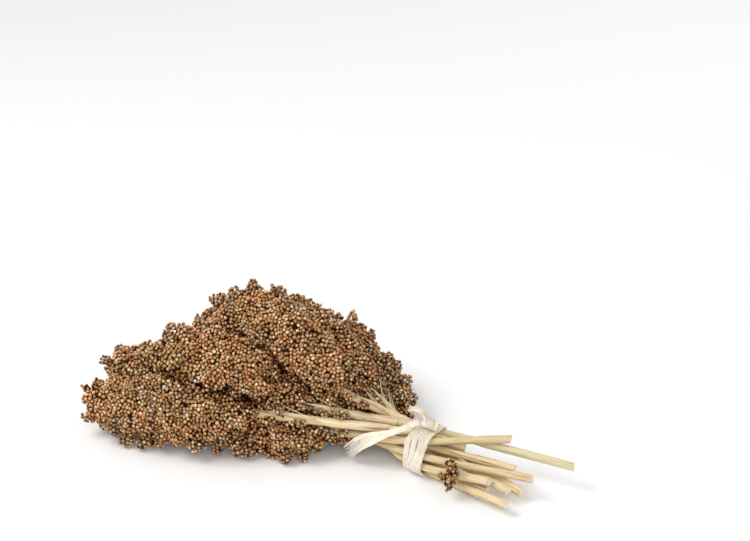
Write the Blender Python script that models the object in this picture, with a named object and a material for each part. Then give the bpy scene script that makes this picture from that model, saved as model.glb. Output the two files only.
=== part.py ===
"""A bunch of ten dried sorghum seed heads on their cut stalks, tied at the waist and lying down.

The stalks cross in a skewed ring inside the tie, as in a hand-tied bunch, so the heads fan out on
one side and the cut ends on the other. Metres, +Z up; the heads point to -X, the cut ends to +X,
and the surface that the bunch lies on is z = 0.
"""

import math
import random

import bmesh
import bpy
import numpy as np
from mathutils import Vector

# The frame's origin is the middle of the footprint, and the waist of the bunch lies at WAIST.
WAIST_X = 0.0891
WAIST_Y = 0.0196
WAIST_MID_Z = 0.0225
RING_HALF_Y = 0.0165
RING_HALF_Z = 0.0145

# Each head, as seen from the waist: bearing of the head (0 along -X, positive to +Y) in degrees,
# how far out its base lies, its length, its widest radius, the height of its middle and of its tip,
# the stalk's place in the ring at the waist in degrees (None: the middle of the ring), then the
# bearing, reach and height of the cut end on the other side of the waist.
HEADS = {
    "front_near": (-14, 0.084, 0.134, 0.029, 0.030, 0.022, 125, 22, 0.096, 0.036),
    "front_far": (-21, 0.154, 0.180, 0.037, 0.041, 0.031, 85, 26, 0.052, 0.024),
    "left_low": (-11, 0.142, 0.192, 0.038, 0.042, 0.042, None, 8, 0.106, 0.018),
    "middle_low": (0, 0.080, 0.196, 0.040, 0.040, 0.026, 165, 3, 0.130, 0.018),
    "right_low": (12, 0.074, 0.168, 0.036, 0.037, 0.026, 215, -8, 0.096, 0.014),
    "back_low": (27, 0.042, 0.132, 0.026, 0.030, 0.028, 265, -11, 0.124, 0.016),
    "left_top": (-12, 0.098, 0.186, 0.036, 0.072, 0.045, 50, 14, 0.162, 0.031),
    "middle_top": (0, 0.076, 0.190, 0.039, 0.076, 0.058, 17, 0, 0.122, 0.016),
    "centre_top": (9, 0.066, 0.194, 0.035, 0.075, 0.079, -14, -5, 0.114, 0.020),
    "back_top": (18, 0.056, 0.138, 0.023, 0.058, 0.052, -58, -11, 0.092, 0.012),
}

STALK_RADIUS = 0.0044
BARE_RADIUS = 0.0039
CLEAR = 0.0003
BASE_GAP = 0.0006
FIRM_SHARE = 0.61
FLOOR_SHARE = 0.86

# Settling: samples along each stalk and head, rounds, and the least gap between two of them.
SAMPLES = 70
ROUNDS = 220
WINDOW = 7
LEAST_GAP = 0.0011
FINE = 400

# The heads' grains, larger than life, and the spikes of grains that stand out of each head.
AROUND = 24
ROW_STEP = 0.0078
GRAIN = 0.0036
SPIKES = 7
SPIKE_WIDTH = 0.0048
SPIKE_GRAIN = 0.0018
SPIKE_OUT = 0.012
LOBE = 0.10
GOLDEN = 2.39996
HEAD_GAP = 0.0011
STEM_GAP = 0.0006
STEM_WATCH = 0.05
FLOOR_BAND = 0.0006

# Stalks: the place along the stalk where its lower leaf sheath ends, and the sheaths' pointed tongues
# (place of the root, length, angle off the stalk and lean to the back in degrees).
STALK_SIDES = 8
SHEATH_ENDS = (0.30, 0.62, 0.42, 0.20, 0.52)
BLADES = {
    "front_far": (1.50, 0.078, 8, -25),
    "left_top": (1.50, 0.062, 14, -35),
    "middle_top": (1.38, 0.046, 17, -30),
    "centre_top": (1.40, 0.048, 17, -20),
    "back_top": (1.84, 0.044, 26, 50),
}
BLADE_HALF_WIDTH = 0.0046
BLADE_HALF_THICKNESS = 0.0009
BLADE_ROOM = 0.0026

# The twine: the band of turns around the waist, the knot on its upper back, and the loose tail.
RING_SIDES = 24
STRANDS = 4
WRAP_WIDTH = 0.021
WRAP_THICK = 0.0026
WRAP_VALLEY = 0.0012
WRAP_GAP = 0.0007
WRAP_SKEW = 0.001
WRAP_AHEAD = 0.010
KNOT_TURN = 80
KNOT_AHEAD = 0.0145
TAIL_THICK = 0.0009
TAIL_ROOM = 0.0008
SPRIG_ROOM = 0.0086


def control_weights(count):
    """Weights of a rod's five control points for each of count samples: a Catmull-Rom curve."""
    weights = np.zeros((count, 5))
    for row, place in enumerate(np.linspace(0, 4, count)):
        span = min(int(place), 3)
        t = place - span
        blend = (
            (-t**3 + 2 * t**2 - t) / 2,
            (3 * t**3 - 5 * t**2 + 2) / 2,
            (-3 * t**3 + 4 * t**2 + t) / 2,
            (t**3 - t**2) / 2,
        )
        for index, share in zip(range(span - 1, span + 3), blend):
            if index < 0:
                weights[row, 0] += 2 * share
                weights[row, 1] -= share
            elif index > 4:
                weights[row, 4] += 2 * share
                weights[row, 3] -= share
            else:
                weights[row, index] += share
    return weights


def envelope(t):
    """The head's radius as a share of its widest, from its base at t = 0 to its tip at t = 1."""
    swell = 0.30 + 0.70 * np.sin(np.pi / 2 * np.minimum(t / 0.40, 1) ** 0.75)
    taper = 1 - 0.60 * np.maximum((t - 0.40) / 0.60, 0) ** 2.4
    return np.where(t < 0.40, swell, taper)


def first_rods():
    """Control points of each rod (cut end, waist, head base, head middle, head tip) before settling."""
    rods = []
    for bearing, reach, length, _, mid, tip, slot, cut_bearing, cut_reach, cut_z in HEADS.values():
        if slot is None:
            waist = (0, 0, WAIST_MID_Z)
        else:
            turn = math.radians(slot)
            waist = (0, RING_HALF_Y * math.cos(turn), WAIST_MID_Z + RING_HALF_Z * math.sin(turn))
        a, c = math.radians(bearing), math.radians(cut_bearing)
        out = [(cut_reach * math.cos(c), cut_reach * math.sin(c), cut_z), waist]
        for far, z in (
            (reach, (waist[2] + mid) / 2),
            (reach + length / 2, mid),
            (reach + length, tip),
        ):
            out.append((-far * math.cos(a), far * math.sin(a), z))
        rods.append(out)
    return np.array(rods)


def firm_radii(head_share):
    """What each sample can't be pressed closer than: the stalk itself, or that share of the head."""
    place = np.linspace(0, 4, SAMPLES)
    rows = []
    for spec in HEADS.values():
        head = head_share * spec[3] * envelope(np.clip((place - 2) / 2, 0, 1))
        rows.append(np.where(place < 2, STALK_RADIUS, head))
    return np.array(rows)


def settle():
    """Pushes the rods apart and off the floor until none is in another, bending them as little as it can."""
    weights = control_weights(SAMPLES)
    share = weights / (weights**2).sum(1, keepdims=True)
    radii = firm_radii(FIRM_SHARE)
    footing = firm_radii(FLOOR_SHARE) + CLEAR
    rods = first_rods()
    home = rods.copy()
    for turn in range(ROUNDS):
        points = np.einsum("sk,nkc->nsc", weights, rods)
        move = np.zeros_like(rods)
        count = np.zeros((len(rods), 5, 1))
        for i in range(len(rods)):
            for j in range(i + 1, len(rods)):
                away = points[i][:, None] - points[j][None]
                far = np.sqrt((away**2).sum(2)) + 1e-12
                deep = radii[i][:, None] + radii[j][None] + LEAST_GAP - far
                for low in range(0, SAMPLES, WINDOW):
                    block = deep[low : low + WINDOW]
                    a, b = np.unravel_index(block.argmax(), block.shape)
                    if block[a, b] <= 0:
                        continue
                    push = away[low + a, b] / far[low + a, b] * block[a, b] / 2
                    move[i] += share[low + a][:, None] * push
                    move[j] -= share[b][:, None] * push
                    count[i] += (np.abs(share[low + a]) > 0.05)[:, None]
                    count[j] += (np.abs(share[b]) > 0.05)[:, None]
        rods += move / np.maximum(count, 1)
        points = np.einsum("sk,nkc->nsc", weights, rods)
        under = footing - points[:, :, 2]
        for i in range(len(rods)):
            for low in range(0, SAMPLES, WINDOW):
                a = low + under[i, low : low + WINDOW].argmax()
                if under[i, a] > 0:
                    rods[i, :, 2] += share[a] * under[i, a] * 0.4
        rods += (home - rods) * 0.02 * (1 - turn / ROUNDS)
        rods[:, 1, 0] *= 0.5
    return rods + np.array((WAIST_X, WAIST_Y, 0))


FINE_WEIGHTS = control_weights(FINE + 1)


def curve(rod, low, high, count):
    """Points of a rod between two places: 0 cut end, 1 waist, 2 head base, 3 head middle, 4 head tip."""
    fine = FINE_WEIGHTS @ rod
    place = np.linspace(low, high, count) * FINE / 4
    return np.stack([np.interp(place, np.arange(FINE + 1), fine[:, axis]) for axis in range(3)], 1)


def carried_frames(points):
    """A tangent and two cross directions at each point, carried along the curve without twisting."""
    tangents = np.gradient(points, axis=0)
    tangents /= np.linalg.norm(tangents, axis=1, keepdims=True)
    across = np.cross(tangents[0], (0.0, 0.0, 1.0))
    rows = []
    for tangent in tangents:
        across = across - tangent * across.dot(tangent)
        across /= np.linalg.norm(across)
        rows.append((tangent, across, np.cross(across, tangent)))
    return rows


class Room:
    """The space that a head may fill: up to halfway to the heads beside it, and clear of foreign stalks."""

    def __init__(self, rods, index, blades):
        place = np.linspace(0, 1, 44)
        self.own = curve(rods[index], 2, 4, 44)
        self.own_firm = FIRM_SHARE * list(HEADS.values())[index][3] * envelope(place)
        self.heads = []
        self.stems = []
        for other, spec in enumerate(HEADS.values()):
            if other != index:
                self.heads.append((curve(rods[other], 2, 4, 44), FIRM_SHARE * spec[3] * envelope(place)))
                self.stems.append((curve(rods[other], 1.1, 2, 70), STALK_RADIUS))
        for line in blades:
            self.stems.append((line, BLADE_ROOM))

    def holds(self, points):
        """True for each of the points that is in the head's space."""
        reach = np.linalg.norm(points[:, None] - self.own[None], axis=2)
        own = (reach - self.own_firm).min(1)
        good = points[:, 2] >= -1e-9
        for line, firm in self.heads:
            other = (np.linalg.norm(points[:, None] - line[None], axis=2) - firm).min(1)
            good &= other - own >= HEAD_GAP
        for line, radius in self.stems:
            near = np.linalg.norm(points[:, None] - line[None], axis=2).argmin(1)
            beside = line[near]
            core = self.own[np.linalg.norm(beside[:, None] - self.own[None], axis=2).argmin(1)]
            out = beside - core
            width = np.linalg.norm(out, axis=1)
            over = ((points - beside) * out).sum(1) / width
            close = np.linalg.norm(points - beside, axis=1) < STEM_WATCH
            good &= ~close | (over <= -radius - STEM_GAP)
        return good

    def clamp(self, centres, directions, wanted):
        """How far each direction may go from its centre, at most as far as wanted."""
        low = np.full(len(wanted), 0.002)
        high = wanted.copy()
        free = self.holds(centres + directions * high[:, None])
        for _ in range(11):
            half = (low + high) / 2
            good = self.holds(centres + directions * half[:, None])
            low = np.where(good, half, low)
            high = np.where(good, high, half)
        return np.where(free, wanted, low)


def add_object(name, vertices, faces, material):
    """A named object with one material, its faces turned outward."""
    shape = bmesh.new()
    placed = [shape.verts.new(Vector(vertex)) for vertex in vertices]
    for face in faces:
        shape.faces.new([placed[corner] for corner in face])
    bmesh.ops.triangulate(shape, faces=[face for face in shape.faces if len(face.verts) > 4])
    bmesh.ops.recalc_face_normals(shape, faces=shape.faces)
    mesh = bpy.data.meshes.new(name)
    shape.to_mesh(mesh)
    shape.free()
    mesh.materials.append(material)
    mesh.polygons.foreach_set("use_smooth", [True] * len(mesh.polygons))
    thing = bpy.data.objects.new(name, mesh)
    bpy.context.scene.collection.objects.link(thing)
    return thing


def join(target, added, solver="EXACT"):
    """Fuses the added objects into the target and removes them."""
    for other in added:
        fuse = target.modifiers.new("fuse", "BOOLEAN")
        fuse.operation = "UNION"
        fuse.solver = solver
        fuse.object = other
    graph = bpy.context.evaluated_depsgraph_get()
    mesh = bpy.data.meshes.new_from_object(target.evaluated_get(graph))
    target.modifiers.clear()
    target.data = mesh
    mesh.polygons.foreach_set("use_smooth", [True] * len(mesh.polygons))
    for other in added:
        bpy.data.objects.remove(other)


def staggered_faces(rows, around):
    """Triangles between rows of a grid whose every other row is turned by half a step."""
    faces = []
    for row in range(rows - 1):
        for column in range(around):
            after = (column + 1) % around
            a, b = row * around + column, row * around + after
            c, d = a + around, b + around
            if row % 2:
                faces += [(a, b, d), (a, d, c)]
            else:
                faces += [(a, b, c), (b, d, c)]
    first, last = rows * around, rows * around + 1
    for column in range(around):
        after = (column + 1) % around
        faces.append((first, after, column))
        faces.append((last, (rows - 1) * around + column, (rows - 1) * around + after))
    return faces


def is_grain(row, column):
    """Every third corner of the staggered grid is the top of a grain, so none has a grain for neighbour."""
    return (column - row // 2 - row) % 3 == 0


def grainy_grid(points, widths, around, grain, chance):
    """Centres, directions and lengths of a grid with grains standing out of it, row by row."""
    centres, directions, lengths = [], [], []
    for row, ((_, side, up), centre, width) in enumerate(zip(carried_frames(points), points, widths)):
        for column in range(around):
            turn = 2 * math.pi * (column + 0.5 * (row % 2)) / around
            centres.append(centre)
            directions.append(side * math.cos(turn) + up * math.sin(turn))
            lengths.append(width + grain * chance.uniform(0.7, 1.2))
    return np.array(centres), np.array(directions), np.array(lengths)


def sink_between(lengths, around, grain, chance):
    """Lowers the corners between the grains, and returns all the lengths."""
    sunk = lengths.copy()
    for corner in range(len(lengths)):
        if not is_grain(corner // around, corner % around):
            sunk[corner] -= grain * chance.uniform(1.1, 1.5)
    return np.maximum(sunk, 0.0012)


def grainy_sprig(name, points, width, around, grain, material, chance, room=None):
    """A short spike of grains along the points, or None where it would leave the room given."""
    place = np.linspace(0, 1, len(points))
    widths = width * (0.55 + 0.45 * np.sin(np.pi * np.minimum(place + 0.12, 1)))
    centres, directions, lengths = grainy_grid(points, widths, around, grain, chance)
    lengths = sink_between(lengths, around, grain, chance)
    corners = centres + directions * lengths[:, None]
    tip = points[-1] + (points[-1] - points[-2]) * 0.45
    if room is not None and not room.holds(np.vstack((corners, tip))).all():
        return None
    vertices = [tuple(corner) for corner in corners] + [tuple(points[0]), tuple(tip)]
    return add_object(name, vertices, staggered_faces(len(points), around), material)


def make_head(rods, index, blades, material):
    """A seed head: a dense body of grains larger than life, with spikes of grains standing out of it."""
    name, spec = list(HEADS.items())[index]
    length, radius = spec[2], spec[3]
    chance = random.Random(40 + index)
    room = Room(rods, index, blades)
    rows = round(length / ROW_STEP)
    points = curve(rods[index], 2, 4, rows)
    place = np.linspace(0, 1, rows)
    centres, directions, lengths = grainy_grid(points, radius * envelope(place), AROUND, GRAIN, chance)
    lobe = chance.uniform(0, 6)
    for row in range(rows):
        for column in range(AROUND):
            turn = 2 * math.pi * column / AROUND
            swell = math.sin(3 * turn + lobe + 16 * place[row]) * math.sin(lobe + 27 * place[row])
            swell += 0.6 * math.sin(5 * turn - 2 * lobe - 23 * place[row])
            lengths[row * AROUND + column] += LOBE * radius * swell
    full = room.clamp(centres, directions, lengths)
    resting = centres[:, 2] + directions[:, 2] * full < FLOOR_BAND
    lengths = np.where(resting, full, sink_between(full, AROUND, GRAIN, chance))
    lengths[:AROUND] = BARE_RADIUS
    corners = centres + directions * lengths[:, None]
    corners[AROUND:, 2][resting[AROUND:]] = 0
    tip = points[-1] + (points[-1] - points[-2]) * 0.8
    vertices = [tuple(corner) for corner in corners] + [tuple(points[0]), tuple(tip)]
    head = add_object("head_" + name, vertices, staggered_faces(rows, AROUND), material)
    spikes = []
    frames = carried_frames(points)
    for count in range(SPIKES):
        along = 0.22 + 0.76 * (count + 0.5) / SPIKES
        turn = GOLDEN * count + lobe
        row = min(int(along * (rows - 1)), rows - 1)
        ahead, side, up = frames[row]
        out = side * math.cos(turn) + up * math.sin(turn)
        way = out * (1 - 0.55 * along) + ahead * (0.35 + 0.85 * along)
        way /= np.linalg.norm(way)
        width = radius * float(envelope(np.array(along)))
        start = points[row] + out * width * 0.45
        stretch = width * 0.62 + SPIKE_OUT
        line = start + way * np.linspace(0, stretch, 5)[:, None]
        spike = grainy_sprig("spike", line, SPIKE_WIDTH, 6, SPIKE_GRAIN, material, chance, room)
        if spike is not None:
            spikes.append(spike)
    join(head, spikes)
    return head


def blade_line(rods, index):
    """The middle line of a stalk's pointed leaf sheath: along the stalk, then lifting off it."""
    name = list(HEADS)[index]
    start, length, lift, lean = BLADES[name]
    stalk = curve(rods[index], 0, 2, 161)
    root = int(start * 80)
    point = stalk[root].copy()
    line = [point.copy()]
    way = stalk[root + 1] - stalk[root]
    way /= np.linalg.norm(way)
    side = np.cross(way, (0.0, 0.0, 1.0))
    side /= np.linalg.norm(side)
    rise = np.cross(side, way) * math.cos(math.radians(lean)) + side * math.sin(math.radians(lean))
    for step in range(1, 7):
        angle = math.radians(lift) * (1.25 - 0.12 * step)
        point = point + (way * math.cos(angle) + rise * math.sin(angle)) * length / 6
        line.append(point.copy())
    return np.array(line), np.cross(rise, way)


def make_blade(rods, index, material):
    """A pointed leaf sheath tongue, as a flat blade with a blunt point."""
    line, wide = blade_line(rods, index)
    frames = carried_frames(line)
    vertices = []
    for step, (point, (ahead, _, _)) in enumerate(zip(line, frames)):
        left = step / (len(line) - 1)
        half = BLADE_HALF_WIDTH * (1 - 0.86 * left**1.6)
        thick = BLADE_HALF_THICKNESS * (1 - 0.45 * left)
        thin = np.cross(ahead, wide)
        for a, b in ((1, 0), (0.5, 0.8), (-0.5, 0.8), (-1, 0), (-0.5, -0.8), (0.5, -0.8)):
            vertices.append(tuple(point + wide * half * a + thin * thick * b))
    faces = []
    for step in range(len(line) - 1):
        for corner in range(6):
            after = (corner + 1) % 6
            low, high = step * 6, step * 6 + 6
            faces.append((low + corner, low + after, high + after, high + corner))
    faces.append(tuple(range(6)))
    faces.append(tuple(range(len(vertices) - 6, len(vertices))))
    return add_object("blade", vertices, faces, material)


def make_stalk(rods, index, material):
    """A cut stalk up to its head, with steps where leaf sheaths end and a pointed tongue on some."""
    name = list(HEADS)[index]
    step_at = SHEATH_ENDS[index % len(SHEATH_ENDS)]
    rows = [0.0, step_at, step_at + 0.012, 0.75, 1.0, 1.2, 1.4, 1.6, 1.8, 1.97, 2.0]
    if step_at > 0.4:
        rows.insert(1, 0.25)
    else:
        rows.insert(3, 0.55)
    points = np.array([curve(rods[index], place, place, 1)[0] for place in rows])
    last = points[-1] - points[-2]
    points[-1] -= last / np.linalg.norm(last) * BASE_GAP
    frames = carried_frames(points)
    vertices = []
    for place, centre, (_, side, up) in zip(rows, points, frames):
        radius = STALK_RADIUS if place <= step_at or 1.15 < place < 1.9 else BARE_RADIUS
        for corner in range(STALK_SIDES):
            turn = 2 * math.pi * corner / STALK_SIDES
            vertices.append(tuple(centre + (side * math.cos(turn) + up * math.sin(turn)) * radius))
    faces = []
    for row in range(len(rows) - 1):
        for corner in range(STALK_SIDES):
            after = (corner + 1) % STALK_SIDES
            low, high = row * STALK_SIDES, (row + 1) * STALK_SIDES
            faces.append((low + corner, low + after, high + after, high + corner))
    faces.append(tuple(range(STALK_SIDES)))
    faces.append(tuple(range(len(vertices) - STALK_SIDES, len(vertices))))
    stalk = add_object("stalk_" + name, vertices, faces, material)
    if name in BLADES:
        join(stalk, [make_blade(rods, index, material)])
    return stalk


def stalk_points(rods):
    """Points all along the middle lines of the stalks."""
    return np.vstack([curve(rod, 0, 2, 360) for rod in rods])


def bundle_reach(stalks, x_low, x_high, turn):
    """How far the stalks between two planes reach from the ring's middle, at one turn around it."""
    near = stalks[(stalks[:, 0] > x_low) & (stalks[:, 0] < x_high)]
    turns = np.linspace(0, 2 * math.pi, 96, endpoint=False)
    sweep = np.outer(near[:, 1] - WAIST_Y, np.cos(turns)) + np.outer(near[:, 2] - WAIST_MID_Z, np.sin(turns))
    support = sweep.max(0) + STALK_RADIUS + WRAP_GAP
    facing = np.cos(turn - turns)
    return float((support[facing > 0.2] / facing[facing > 0.2]).min())


def make_wraps(rods, material):
    """The twine's turns around the waist, side by side, as one ridged band."""
    stalks = stalk_points(rods)
    half = WRAP_WIDTH / 2
    outer = np.linspace(-half, half, 2 * STRANDS + 1)
    stations = [(x, WRAP_THICK if count % 2 else WRAP_VALLEY) for count, x in enumerate(outer)]
    stations += [(x, 0.0) for x in np.linspace(half, -half, 5)]
    vertices = []
    for along, thick in stations:
        for side in range(RING_SIDES):
            turn = 2 * math.pi * side / RING_SIDES
            x = WAIST_X + WRAP_AHEAD + along + WRAP_SKEW * math.sin(turn)
            reach = bundle_reach(stalks, x - 0.004, x + 0.004, turn) + thick
            y = WAIST_Y + reach * math.cos(turn)
            vertices.append((x, y, max(WAIST_MID_Z + reach * math.sin(turn), 0.0)))
    faces = []
    for station in range(len(stations)):
        after = (station + 1) % len(stations)
        for side in range(RING_SIDES):
            beside = (side + 1) % RING_SIDES
            low, high = station * RING_SIDES, after * RING_SIDES
            faces.append((low + side, low + beside, high + beside, high + side))
    return add_object("tie_wraps", vertices, faces, material)


def ribbon(name, line, halves, thick, wide, material, sides=8):
    """A strand of twine with an oval section along a line, as wide as halves says at each point."""
    line = np.array(line)
    frames = carried_frames(line)
    vertices = []
    for point, half, (ahead, _, _), across in zip(line, halves, frames, wide):
        across = np.array(across) - ahead * np.dot(ahead, across)
        across /= np.linalg.norm(across)
        normal = np.cross(ahead, across)
        for corner in range(sides):
            turn = 2 * math.pi * corner / sides
            vertices.append(tuple(point + across * half * math.cos(turn) + normal * thick * math.sin(turn)))
    faces = []
    for row in range(len(line) - 1):
        for corner in range(sides):
            after = (corner + 1) % sides
            low, high = row * sides, (row + 1) * sides
            faces.append((low + corner, low + after, high + after, high + corner))
    faces.append(tuple(range(sides)))
    faces.append(tuple(range(len(vertices) - sides, len(vertices))))
    return add_object(name, vertices, faces, material)


def make_knot(rods, material):
    """The knot on the upper back of the band, with the twine's short second end arching forward from it."""
    stalks = stalk_points(rods)
    turn = math.radians(KNOT_TURN)
    x = WAIST_X + KNOT_AHEAD
    reach = bundle_reach(stalks, x - 0.016, x + 0.016, turn) + WRAP_THICK + CLEAR
    out = np.array((0, math.cos(turn), math.sin(turn)))
    round_way = np.array((0, -math.sin(turn), math.cos(turn)))
    ahead = np.array((1.0, 0, 0))
    seat = np.array((x, WAIST_Y, WAIST_MID_Z)) + out * (reach + 0.0048)
    core = [seat + ahead * 0.001 * along - out * 0.0004 * abs(along) / 8 for along in (-9, -6, -2, 2, 6, 9)]
    knot = ribbon("tie_knot", core, (0.0028, 0.0052, 0.0058, 0.0058, 0.0050, 0.0026), 0.0042,
                  [round_way] * 6, material)
    over = []
    for step in range(7):
        arc = math.radians(-75 + 25 * step)
        over.append(seat + round_way * 0.0072 * math.sin(arc) + out * (0.0062 * math.cos(arc) - 0.0014)
                    + ahead * 0.0030 * math.sin(arc))
    bar = ribbon("bar", over, [0.0036] * 7, 0.0018, [ahead] * 7, material)
    end = [seat + round_way * 0.004 + out * 0.001]
    for along, side, rise in ((-2, -3, 6), (-5, -3, 12), (-10, -4, 16), (-16, -5, 16), (-21, -6, 13)):
        end.append(seat + np.array((along, side, rise)) * 0.001)
    short = ribbon("short_end", end, (0.0026, 0.0028, 0.0030, 0.0034, 0.0040, 0.0044), 0.0011,
                   [np.array((0.25, 1.0, 0.1))] * 6, material)
    join(knot, [bar, short], "MANIFOLD")
    return knot


def tail_line(rods):
    """The loose tail's middle line: from the knot over the band and down the front of the stalks."""
    corners = np.array(((0.002, 0.006, 0.048), (-0.013, -0.010, 0.041), (-0.031, -0.016, 0.031),
                        (-0.047, -0.023, 0.022), (-0.059, -0.033, 0.012)))
    line = curve(corners + (WAIST_X, WAIST_Y, 0), 0, 4, 22)
    normal = np.array((0.30, -0.76, 0.58))
    normal /= np.linalg.norm(normal)
    stalks = stalk_points(rods)
    lifts = []
    for point, (ahead, _, _) in zip(line, carried_frames(line)):
        across = np.cross(normal, ahead)
        away = stalks - point
        beside = (np.abs(away @ across) < 0.0095) & (np.abs(away @ ahead) < 0.006)
        height = (away @ normal)[beside].max() if beside.any() else -1.0
        if point[0] > WAIST_X + WRAP_AHEAD - 0.016:
            height += WRAP_THICK + WRAP_GAP
        lifts.append(max(height + STALK_RADIUS + TAIL_THICK + TAIL_ROOM, -0.004))
    lifts = np.array([max(lifts[max(step - 2, 0) : step + 3]) for step in range(len(lifts))])
    lifts = np.convolve(np.pad(lifts, 2, mode="edge"), np.full(5, 0.2), mode="valid")
    return line + normal * lifts[:, None], normal


def make_tail(rods, material):
    """The loose tail of the twine, broader toward its frayed end."""
    line, normal = tail_line(rods)
    halves = 0.0032 + 0.0034 * np.linspace(0, 1, len(line)) ** 1.8
    wide = [np.cross(normal, ahead) for ahead, _, _ in carried_frames(line)]
    return ribbon("tie_tail", line, halves, TAIL_THICK, wide, material)


def make_loose_sprig(rods, material):
    """A broken sprig of grains that leans on the front of the stalks."""
    stalks = stalk_points(rods)
    bottom = np.array((WAIST_X + 0.061, WAIST_Y - 0.068, 0.0142))
    top = np.array((WAIST_X + 0.051, WAIST_Y - 0.050, 0.0322))
    line = bottom + (top - bottom) * np.linspace(0, 1, 7)[:, None]
    while np.linalg.norm(line[:, None] - stalks[None], axis=2).min() > STALK_RADIUS + SPRIG_ROOM:
        line[:, 1] += 0.0002
    return grainy_sprig("loose_sprig", line, 0.0058, 9, 0.0022, material, random.Random(7))


def make_material(name, colour, roughness):
    material = bpy.data.materials.new(name)
    material.use_nodes = True
    shader = material.node_tree.nodes["Principled BSDF"]
    shader.inputs["Base Color"].default_value = (*colour, 1)
    shader.inputs["Roughness"].default_value = roughness
    return material


def build():
    for thing in list(bpy.data.objects):
        bpy.data.objects.remove(thing)
    grain = make_material("grain", (0.30, 0.155, 0.090), 0.6)
    straw = make_material("straw", (0.67, 0.51, 0.26), 0.55)
    twine = make_material("twine", (0.83, 0.75, 0.61), 0.85)
    rods = settle()
    blades = []
    for index, name in enumerate(HEADS):
        if name in BLADES:
            line = blade_line(rods, index)[0]
            steps = np.linspace(0, len(line) - 1, 50)
            blades.append(np.stack([np.interp(steps, np.arange(len(line)), line[:, axis]) for axis in range(3)], 1))
    for index in range(len(HEADS)):
        make_head(rods, index, blades, grain)
        make_stalk(rods, index, straw)
    make_wraps(rods, twine)
    make_knot(rods, twine)
    make_tail(rods, twine)
    make_loose_sprig(rods, grain)


build()
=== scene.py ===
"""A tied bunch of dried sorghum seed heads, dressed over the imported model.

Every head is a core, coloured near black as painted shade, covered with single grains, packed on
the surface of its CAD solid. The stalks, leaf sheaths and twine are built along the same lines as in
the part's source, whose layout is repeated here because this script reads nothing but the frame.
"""

import math

import bpy
import numpy as np
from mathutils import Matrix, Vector
from mathutils.bvhtree import BVHTree
from mathutils.kdtree import KDTree


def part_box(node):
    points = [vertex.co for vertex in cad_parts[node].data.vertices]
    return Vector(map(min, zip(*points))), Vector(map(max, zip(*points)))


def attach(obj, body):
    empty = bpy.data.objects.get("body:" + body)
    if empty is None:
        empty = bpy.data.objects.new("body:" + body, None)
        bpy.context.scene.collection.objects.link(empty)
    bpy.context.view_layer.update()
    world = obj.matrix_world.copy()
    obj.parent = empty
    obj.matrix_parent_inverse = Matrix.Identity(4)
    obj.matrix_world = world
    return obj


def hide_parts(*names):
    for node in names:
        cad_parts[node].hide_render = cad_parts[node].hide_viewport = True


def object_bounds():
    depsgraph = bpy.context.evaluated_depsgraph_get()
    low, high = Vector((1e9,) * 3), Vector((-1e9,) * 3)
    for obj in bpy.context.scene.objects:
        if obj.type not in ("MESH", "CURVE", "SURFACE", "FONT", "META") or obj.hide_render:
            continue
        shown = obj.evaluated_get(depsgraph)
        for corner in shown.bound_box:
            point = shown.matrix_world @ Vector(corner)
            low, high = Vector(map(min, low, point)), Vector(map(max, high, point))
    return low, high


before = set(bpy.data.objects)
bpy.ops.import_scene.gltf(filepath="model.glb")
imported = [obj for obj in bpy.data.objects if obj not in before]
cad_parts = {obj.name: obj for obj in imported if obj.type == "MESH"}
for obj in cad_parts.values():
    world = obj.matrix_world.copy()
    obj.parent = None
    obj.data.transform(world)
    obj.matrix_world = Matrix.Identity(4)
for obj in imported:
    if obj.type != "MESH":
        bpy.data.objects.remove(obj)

CAD_BOX = [list(corner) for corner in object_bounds()]

# The frame's origin is the middle of the footprint. The bunch's waist lies over WAIST_X and WAIST_Y.
WAIST_X = 0.0891
WAIST_Y = 0.0196
WAIST_MID_Z = 0.0225
RING_HALF_Y = 0.0165
RING_HALF_Z = 0.0145

# Each head, as seen from the waist: bearing of the head (0 along -X, positive to +Y) in degrees,
# how far out its base lies, its length, its widest radius, the height of its middle and of its tip,
# the stalk's place in the ring at the waist in degrees (None: the middle of the ring), then the
# bearing, reach and height of the cut end on the other side of the waist.
HEADS = {
    "front_near": (-14, 0.084, 0.134, 0.029, 0.030, 0.022, 125, 22, 0.096, 0.036),
    "front_far": (-21, 0.154, 0.180, 0.037, 0.041, 0.031, 85, 26, 0.052, 0.024),
    "left_low": (-11, 0.142, 0.192, 0.038, 0.042, 0.042, None, 8, 0.106, 0.018),
    "middle_low": (0, 0.080, 0.196, 0.040, 0.040, 0.026, 165, 3, 0.130, 0.018),
    "right_low": (12, 0.074, 0.168, 0.036, 0.037, 0.026, 215, -8, 0.096, 0.014),
    "back_low": (27, 0.042, 0.132, 0.026, 0.030, 0.028, 265, -11, 0.124, 0.016),
    "left_top": (-12, 0.098, 0.186, 0.036, 0.072, 0.045, 50, 14, 0.162, 0.031),
    "middle_top": (0, 0.076, 0.190, 0.039, 0.076, 0.058, 17, 0, 0.122, 0.016),
    "centre_top": (9, 0.066, 0.194, 0.035, 0.075, 0.079, -14, -5, 0.114, 0.020),
    "back_top": (18, 0.056, 0.138, 0.023, 0.058, 0.052, -58, -11, 0.092, 0.012),
}

STALK_RADIUS = 0.0044
BARE_RADIUS = 0.0039
CLEAR = 0.0003
FIRM_SHARE = 0.61
FLOOR_SHARE = 0.86

# Settling: samples along each stalk and head, rounds, and the least gap between two of them.
SAMPLES = 70
ROUNDS = 220
WINDOW = 7
LEAST_GAP = 0.0011
FINE = 400

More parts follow.
